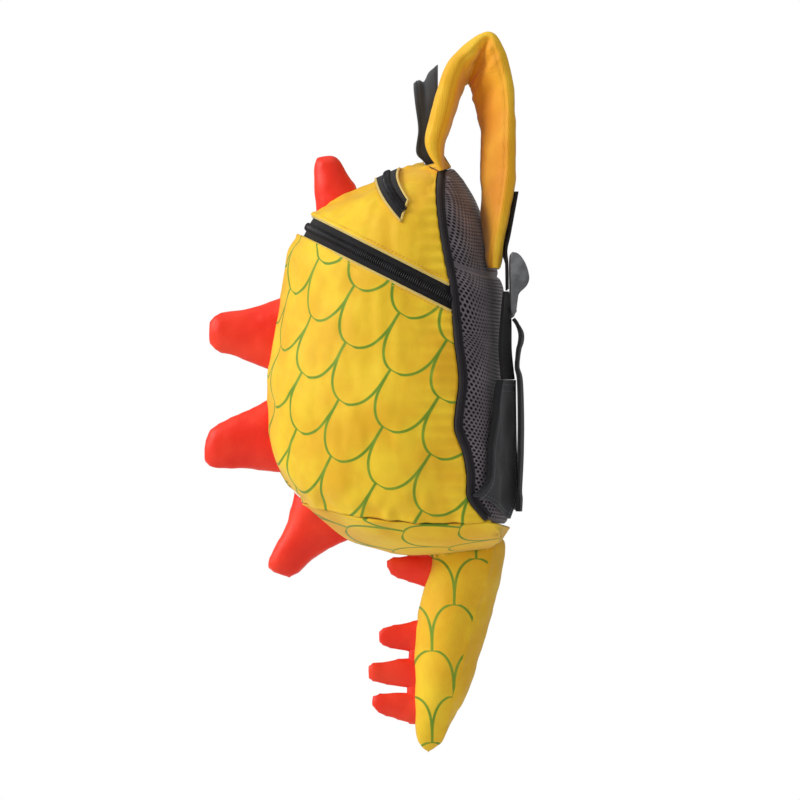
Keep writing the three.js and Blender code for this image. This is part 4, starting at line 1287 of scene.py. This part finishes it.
# Shoulder straps. The table's rows: across, back and drop of the outer edge, the same of the inner
# edge, and thickness; shares of the bag's width, of the way from the top seam to the back plane, of
# the way from the strap's top to the top seam, and of the strap's thickness
strap = {
    "thick": 0.0145,
    "webbing": 0.025,
    "webbingWall": 0.0016,
    "lockWidth": 0.032,
    "lockAcross": 0.328,
    "gap": 0.0003,
    "opening": (478, 140),
    "shadeFrom": 6.2,
    "hem": 0.93,
}
strapTable = np.array([
    (0.235, 0.001, 1.017, 0.1, 0.016, 1.006, 0.35), (0.241, -0.118, 0.83, 0.098, -0.038, 0.803, 0.95),
    (0.25, -0.03, 0.623, 0.098, 0.026, 0.667, 1.1), (0.259, 0.048, 0.449, 0.099, 0.108, 0.547, 1.1),
    (0.268, 0.125, 0.291, 0.101, 0.187, 0.449, 1), (0.276, 0.247, 0.165, 0.104, 0.251, 0.397, 0.95),
    (0.283, 0.423, 0.078, 0.107, 0.301, 0.363, 0.95), (0.289, 0.592, 0.014, 0.11, 0.344, 0.344, 0.95),
    (0.293, 0.689, -0.004, 0.113, 0.379, 0.348, 0.95), (0.297, 0.774, 0.029, 0.116, 0.415, 0.37, 0.95),
    (0.302, 0.866, 0.135, 0.119, 0.465, 0.419, 1), (0.308, 0.945, 0.288, 0.123, 0.523, 0.502, 1),
    (0.316, 0.994, 0.475, 0.128, 0.58, 0.607, 1), (0.33, 1.002, 0.78, 0.138, 0.629, 0.803, 1),
    (0.343, 0.982, 1.081, 0.148, 0.64, 1.081, 1), (0.355, 0.893, 1.352, 0.162, 0.643, 1.345, 0.95),
    (0.364, 0.791, 1.608, 0.18, 0.686, 1.593, 0.9), (0.368, 0.764, 1.743, 0.19, 0.714, 1.736, 0.55)])
topSeam = bagPlace(sectionTable[0, 2], sectionTable[0, 3])
strapTop = strap["thick"] / 2


def strapPlace(across, back, drop):
    y = topSeam[0] + np.asarray(back) * (bag["backPlane"] - topSeam[0])
    z = strapTop - np.asarray(drop) * (strapTop - topSeam[1]) / 1.02
    return stacked(np.asarray(across) * bag["width"], y, z)


def strapFrames(at):
    rows = smoothTable(strapTable, at)
    outer = strapPlace(rows[:, 0], rows[:, 1], rows[:, 2])
    inner = strapPlace(rows[:, 3], rows[:, 4], rows[:, 5])
    middle = (outer + inner) / 2
    across = outer - inner
    out = unit(np.cross(unit(across), np.gradient(middle, axis=0)))
    return middle, unit(across), out, np.linalg.norm(across, axis=1) / 2, rows[:, 6] * strap["thick"] / 2


def makeStrap(flip, tag):
    at = np.linspace(0, len(strapTable) - 1, 190)
    middle, across, out, halfWidth, halfThick = strapFrames(at)
    cosine, sine = np.cos(fullTurn(56)), np.sin(fullTurn(56))
    flatAcross = np.sign(cosine) * np.abs(cosine) ** 0.55
    flatOut = np.sign(sine) * np.abs(sine) ** 0.8
    reach = halfWidth[:, None] * flatAcross[None, :]
    rise = halfThick[:, None] * flatOut[None, :]
    rings = middle[:, None] + across[:, None] * reach[..., None] + out[:, None] * rise[..., None]
    # the face towards the opening is gathered where the strap turns over at its top
    opening = seen(*strap["opening"])
    inwardSide = np.sign(((opening - middle) * out * np.array((0, 1, 1))).sum(axis=1))[:, None]
    inside = np.clip(flatOut[None, :] * inwardSide, 0, 1)
    apex = hill(at, 8.2, 3.4)[:, None]
    length = stretchAlong(middle[None], 1)[0][:, None]
    field = stacked(length, reach * 0.55, 0)
    folds = noiseSum(field, (85, 71, 0.0042), (190, 72, 0.0018)) * apex * inside
    soft = noiseSum(field, (60, 73, 0.0009), (150, 75, 0.0005))
    seam = hill(np.abs(flatAcross), 0.9, 0.035) * -0.0009 * (np.abs(flatOut) > 0.2)
    normal = unit(across[:, None] * (flatAcross[None, :, None] * 0.5) + out[:, None] * flatOut[None, :, None])
    rings = rings + normal * (folds + soft + seam)[..., None]
    rings = rings * flip
    piece = loftPiece("shoulderStrap" + tag, rings, stacked(reach, length))
    # painted shade: the face towards the opening is turned deep orange from row shadeFrom on, stored in the
    # attribute inside
    shade = piece.data.attributes.new("inside", "FLOAT", "POINT")
    turned = np.clip((at - strap["shadeFrom"]) / 2.5, 0, 1)[:, None]
    values = np.concatenate([(inside ** 0.5 * turned).ravel(), [0, 0]])
    shade.data.foreach_set("value", values.astype(np.float32))
    seatOn(piece, bagTree, 0.0005)
    finishPiece(piece, "strap", "strap_yellow", "shoulder_strap_" + tag.lower(), fill=0.6)


def backY(x, z):
    place, _, _, _ = bagTree.ray_cast(Vector((x, 0.3, z)), Vector((0, -1, 0)))
    return place.y if place is not None else -1.0


# across, back and drop as in the straps' table, and twist in degrees
webbingRoutes = {
    "lower": ((0.332, 0.905, 1.916, -8), (0.342, 0.905, 2.135, -18), (0.352, 0.897, 2.36, -22)),
    "tail": ((0.33, 1.02, 2.121, 0), (0.331, 1.071, 2.157, 0), (0.332, 1.128, 2.222, -4),
             (0.333, 1.128, 2.285, -5), (0.334, 1.099, 2.338, -4), (0.335, 1.082, 2.406, -3),
             (0.336, 1.074, 2.481, -3), (0.337, 1.114, 2.586, -5), (0.339, 1.128, 2.887, -6),
             (0.341, 1.121, 3.15, -6), (0.343, 1.099, 3.414, -5), (0.344, 1.088, 3.549, -4)),
}
# The tab; its table has across, forward and down in the bag's shares, of the outer and the inner edge
tab = {"rows": 44, "columns": 26, "clear": 0.0021, "wall": 0.0016, "buckle": 0.0014, "hem": 0.0006}
tabTable = np.array([
    (0.41, 0.0453, 0.556, 0.315, -0.0082, 0.556), (0.428, 0.0783, 0.6853, 0.32, -0.0111, 0.7112),
    (0.445, 0.1071, 0.8069, 0.325, -0.0111, 0.8405), (0.462, 0.1628, 0.8534, 0.33, 0.0165, 0.9129)])


def webbingPiece(name, route, flip, wall):
    route = np.asarray(route)
    fine = curveThrough(np.concatenate([strapPlace(*route[:, :3].T), route[:, 3:]], axis=1), 110)
    twist = np.radians(fine[:, 3])
    across = stacked(np.cos(twist), np.sin(twist), 0)
    out = unit(np.cross(across, np.gradient(fine[:, :3], axis=0)))
    middle = fine[:, :3] + out * strap["webbingWall"] / 2
    return strip(name, middle * flip, across * flip, out * flip, strap["webbing"], wall)


def makeStrapWebbing(flip, tag):
    at = np.array((14.3, 15, 15.5, 16))
    sample = np.linspace(14, 17, 60)
    middle, across, out, halfWidth, halfThick = strapFrames(sample)

    def pick(values):
        return stacked(*(np.interp(at, sample, column) for column in values.T))

    facing = np.sign(out[:, 1].mean())
    outs = pick(out) * facing
    lift = np.interp(at, sample, halfThick)[:, None] + strap["gap"] + strap["webbingWall"] / 2
    shift = np.interp(at, sample, halfWidth)[:, None] - strap["webbing"] / 2 - 0.002
    middles = pick(middle) + pick(across) * shift + outs * lift
    ends = strapPlace(*np.array(((0.325, 0.94, 1.713), (0.328, 0.945, 1.90))).T)
    middles = np.concatenate([middles, ends])
    acrosses = np.concatenate([pick(across), np.tile((1.0, 0, 0), (2, 1))])
    outs = np.concatenate([outs, np.tile((0, 1.0, 0), (2, 1))])
    fine = curveThrough(np.concatenate([middles, acrosses, outs], axis=1), 70)
    piece, _ = strip("strapWebbing" + tag, fine[:, :3] * flip, unit(fine[:, 3:6]) * flip,
                     unit(fine[:, 6:9]) * flip, strap["webbing"], strap["webbingWall"])
    finishPiece(piece, "webbing", "black_webbing", "strap_webbing_" + tag.lower())


def tailWall(count):
    # the free end is turned over and sewn, so it is thicker
    along = np.linspace(0, 1, count)
    return strap["webbingWall"] * (1 + 1.2 / (1 + np.exp(-(along - strap["hem"]) * 200)))


def makeTab(flip, tag):
    rows, columns = tab["rows"], tab["columns"]
    downs = smoothTable(tabTable, np.linspace(0, 3, rows))
    shares = np.linspace(0, 1, columns)
    outer, low = np.zeros((rows, columns, 3)), np.zeros((rows, columns, 3))
    for i, (aX, aF, aD, bX, bF, bD) in enumerate(downs):
        for j, share in enumerate(shares):
            x = (aX + (bX - aX) * share) * bag["width"]
            y, z = bagPlace(aF + (bF - aF) * share, aD + (bD - aD) * share)
            y = max(y, backY(x, z) + tab["clear"])
            low[i, j] = (x, y, z)
            near = min(i / rows * 4, 1)
            buckle = noiseField(np.array((x * 2.2, 0, z * 0.6)), 60, 81) * tab["buckle"] * near
            outer[i, j] = (x, y + tab["wall"] + max(buckle, -0.0004), z)
    hem = hill(shares, 0.04, 0.03) + hill(shares, 0.96, 0.03)
    outer[..., 1] += hem * tab["hem"]
    piece = wallPiece("lowerTab" + tag, outer * flip, low * flip, clothMap(outer))
    finishPiece(piece, "charcoal", "charcoal_webbing", "lower_tab_" + tag.lower())
    width = float(np.linalg.norm(outer[-1, 0] - outer[-1, -1]))
    length = float(max(stretchAlong(outer, 0)[-1]))
    "lower_webbing_" + tag.lower()
    float(min(surfaceArea(outer), width * length))
    lift = np.array((0, 0.0004, 0))
    lines = [outer[2:-1, column] for column in (2, columns - 3)]
    lines += [outer[row, 2:-2] for row in (2, 4, rows - 4)]
    seams = [((line + lift) * flip, np.tile((0, 1.0, 0), (len(line), 1))) for line in lines]
    repeated("tabStitches" + tag, seams, stitch["pitch"], stitch["size"], "greyThread", "charcoal_webbing")
    # a dark strip between the tab's outer edge and the side seam
    edge = outer[: rows - 6, 0] + np.array((0.0035, -0.0022, 0))
    away = np.tile((0.75, -0.66, 0), (len(edge), 1))
    outs = np.tile((0.66, 0.75, 0), (len(edge), 1))
    wide = np.linspace(0.007, 0.004, len(edge))
    under, _ = strip("tabDarkStrip" + tag, edge * flip, away * flip, outs * flip, wide, 0.0012)
    finishPiece(under, "webbing", "dark_binding")


def surfaceArea(grid):
    one = np.cross(grid[1:, :-1] - grid[:-1, :-1], grid[:-1, 1:] - grid[:-1, :-1])
    two = np.cross(grid[1:, :-1] - grid[1:, 1:], grid[:-1, 1:] - grid[1:, 1:])
    return (np.linalg.norm(one, axis=-1).sum() + np.linalg.norm(two, axis=-1).sum()) / 2


# the buckle's profile, back and drop, and its cross bars with their radius in metres
lockOutline = (
    (0.985, 1.653), (1.042, 1.627), (1.114, 1.646), (1.185, 1.698), (1.232, 1.762),
    (1.248, 1.826), (1.206, 1.879), (1.107, 1.932), (1.085, 1.984), (1.064, 2.059),
    (1.021, 2.108), (0.992, 2.044), (0.985, 1.879))
lockBars = ((1.045, 1.66, 0.0028), (1.18, 1.80, 0.0030), (1.06, 1.90, 0.0026), (1.03, 2.06, 0.0022))


def makeLock(flip, tag):
    # two side rails with the buckle's profile, joined by four cross bars
    closed = np.array(lockOutline + lockOutline[:3])
    fine = smoothTable(closed, np.linspace(1, len(lockOutline) + 1, 90)[:-1])
    outline = strapPlace(strap["lockAcross"], fine[:, 0], fine[:, 1])
    centre = outline.mean(axis=0)
    pieces = []
    half, rail, bevel = strap["lockWidth"] / 2, 0.0042, 0.0009
    for end in (-1, 1):
        rings = []
        for inset, shrink in ((0, 0.90), (bevel * 0.3, 0.955), (bevel, 1.0), (rail - bevel, 1.0),
                              (rail - bevel * 0.3, 0.955), (rail, 0.90)):
            ring = centre + (outline - centre) * shrink
            ring[:, 0] = strap["lockAcross"] * bag["width"] + end * (half - inset)
            rings.append(ring * flip)
        pieces.append(loftPiece("rail", rings))
    for back, drop, radius in lockBars:
        at = strapPlace(strap["lockAcross"], back, drop)
        route = at + np.linspace(-half + 0.001, half - 0.001, 14)[:, None] * np.array((1, 0, 0))
        pieces.append(tube("bar", route * flip, radius, 16))
    lock = joined("ladderLock" + tag, *pieces)
    finishPiece(lock, "buckle", "buckle_grey", "ladder_lock_" + tag.lower())


def makeLooseWebbing(flip, tag):
    # the lower webbing ends at the top of the tab
    across, forward, down = (np.array(tabTable[0][:3]) + tabTable[0][3:]) / 2
    tabY, tabZ = bagPlace(forward, down)
    endBack = (tabY - topSeam[0]) / (bag["backPlane"] - topSeam[0])
    endDrop = (strapTop - tabZ - strap["gap"]) * 1.02 / (strapTop - topSeam[1])
    route = webbingRoutes["lower"] + ((across, endBack, endDrop, -23),)
    lower, _ = webbingPiece("lowerWebbing" + tag, route, flip, strap["webbingWall"])
    finishPiece(lower, "webbing", "black_webbing", "lower_webbing_" + tag.lower())
    free, length = webbingPiece("webbingTail" + tag, webbingRoutes["tail"], flip, tailWall(110))
    finishPiece(free, "webbing", "black_webbing", "webbing_tail_" + tag.lower())
    "ladder_lock_" + tag.lower()


for side, tag in ((1, "Right"), (-1, "Left")):
    for make in (makeStrap, makeStrapWebbing, makeLock, makeTab, makeLooseWebbing):
        make(np.array((side, 1, 1)), tag)
print("straps, buckles and tabs made")


# Haul loop: span, rise, back, width and tilt, as shares, from one root to the top
haul = {"rise": 0.075, "width": 0.017, "halfSpan": 0.013, "wall": 0.0018, "fold": 0.0046}
haulTable = np.array([
    (1, -0.04, 0, 0.35, 0), (1.04, 0.1, -0.03, 0.62, 0), (1.06, 0.2, -0.03, 0.96, 0),
    (1.08, 0.45, -0.03, 0.87, 0.02), (1.02, 0.74, -0.03, 1, 0.07), (0.62, 0.97, -0.03, 1.07, 0.15),
    (0, 1.05, -0.029, 1.08, 0.19)])


def makeHaulLoop():
    far = haulTable[:-1][::-1] * np.array((-1, 1, 1, 1, 1))
    rows = smoothTable(np.concatenate([haulTable, far]), np.linspace(0, 12, 130))
    shares = np.linspace(0, 1, 17)[None, :]
    span, rise, back, width, tilt = (rows[:, k:k + 1] for k in range(5))
    outs = unit(stacked(span, 0, np.maximum(rise - 0.6, 0) * 2.5))
    y = topSeam[0] + back * haul["rise"] - (1 - shares) * width * haul["width"]
    z = topSeam[1] + (rise - (1 - shares) * tilt) * haul["rise"]
    fold = hill(shares, 0.42, 0.13) * haul["fold"] * np.clip((rise - 0.55) / 0.5, 0, 1)
    base = stacked(span * haul["halfSpan"], y, z) - outs * fold[..., None]
    edge = hill(shares, 0.06, 0.04) + hill(shares, 0.94, 0.04)
    outer = base + outs * (haul["wall"] + edge * 0.0004)[..., None]
    loop = wallPiece("haulLoop", outer, base, clothMap(outer))
    finishPiece(loop, "charcoal", "charcoal_webbing", "haul_loop")
    seams = [(outer[4:-4, column] + outs[4:-4, 0] * 0.0003, outs[4:-4, 0]) for column in (2, 14)]
    repeated("haulStitches", seams, stitch["pitch"], stitch["size"], "darkThread", "charcoal_webbing")


makeHaulLoop()
print("haul loop made")

# the zip sliders are the frame's own
for name in ("main_zip_slider", "top_zip_slider"):
    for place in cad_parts[name].material_slots:
        place.material = finishes["slider"]


# Light, floor and world; the places in metres, the power in watts
studio = {
    "world": 0.27,
    "aim": (0, -0.06, -0.27),
    "key": {"at": (0.7, -2.8, 1.1), "size": 1.6, "power": 74},
    "fill": {"at": (2.8, 0.9, 0.3), "size": 2.0, "power": 8.5},
    "top": {"at": (0.3, -0.2, 2.2), "size": 2.2, "power": 16},
}


def makeStudio():
    # the room is white to the camera and dimmer to the cloth
    world = bpy.data.worlds.new("studio")
    bpy.context.scene.world = world
    world.use_nodes = True
    tree = world.node_tree
    background = tree.nodes["Background"]
    white = tree.nodes.new("ShaderNodeBackground")
    for shader, strength in ((background, studio["world"]), (white, 1.0)):
        shader.inputs[0].default_value = (1, 1, 1, 1)
        shader.inputs[1].default_value = strength
    rays = tree.nodes.new("ShaderNodeLightPath")
    mix = tree.nodes.new("ShaderNodeMixShader")
    for place, source in enumerate((rays.outputs["Is Camera Ray"], background.outputs[0], white.outputs[0])):
        tree.links.new(source, mix.inputs[place])
    tree.links.new(mix.outputs[0], tree.nodes["World Output"].inputs[0])
    for name in ("key", "fill", "top"):
        lamp = bpy.data.lights.new(name, "AREA")
        lamp.energy = studio[name]["power"]
        lamp.size = studio[name]["size"]
        holder = addObject(name, lamp)
        holder.location = studio[name]["at"]
        aimAlong(holder, Vector(studio["aim"]) - holder.location)
    turns = fullTurn(96)
    radius = photoView["floorRadius"]
    ring = stacked(np.cos(turns) * radius, np.sin(turns) * radius, photoView["floorHeight"])
    mesh = bpy.data.meshes.new("floor")
    mesh.from_pydata(ring.tolist(), [], [tuple(range(96))])
    floor = addObject("floor", mesh)
    pale = Finish("paleFloor", 0.9)
    patch = pale.cloud(pale.objectPlace(), 3.0)
    pale.colour(pale.blend(patch, (0.93, 0.93, 0.93, 1), (0.95, 0.95, 0.95, 1)))
    mesh.materials.append(pale.material)
    bpy.context.scene.view_settings.view_transform = "Standard"


makeStudio()
print("studio made")
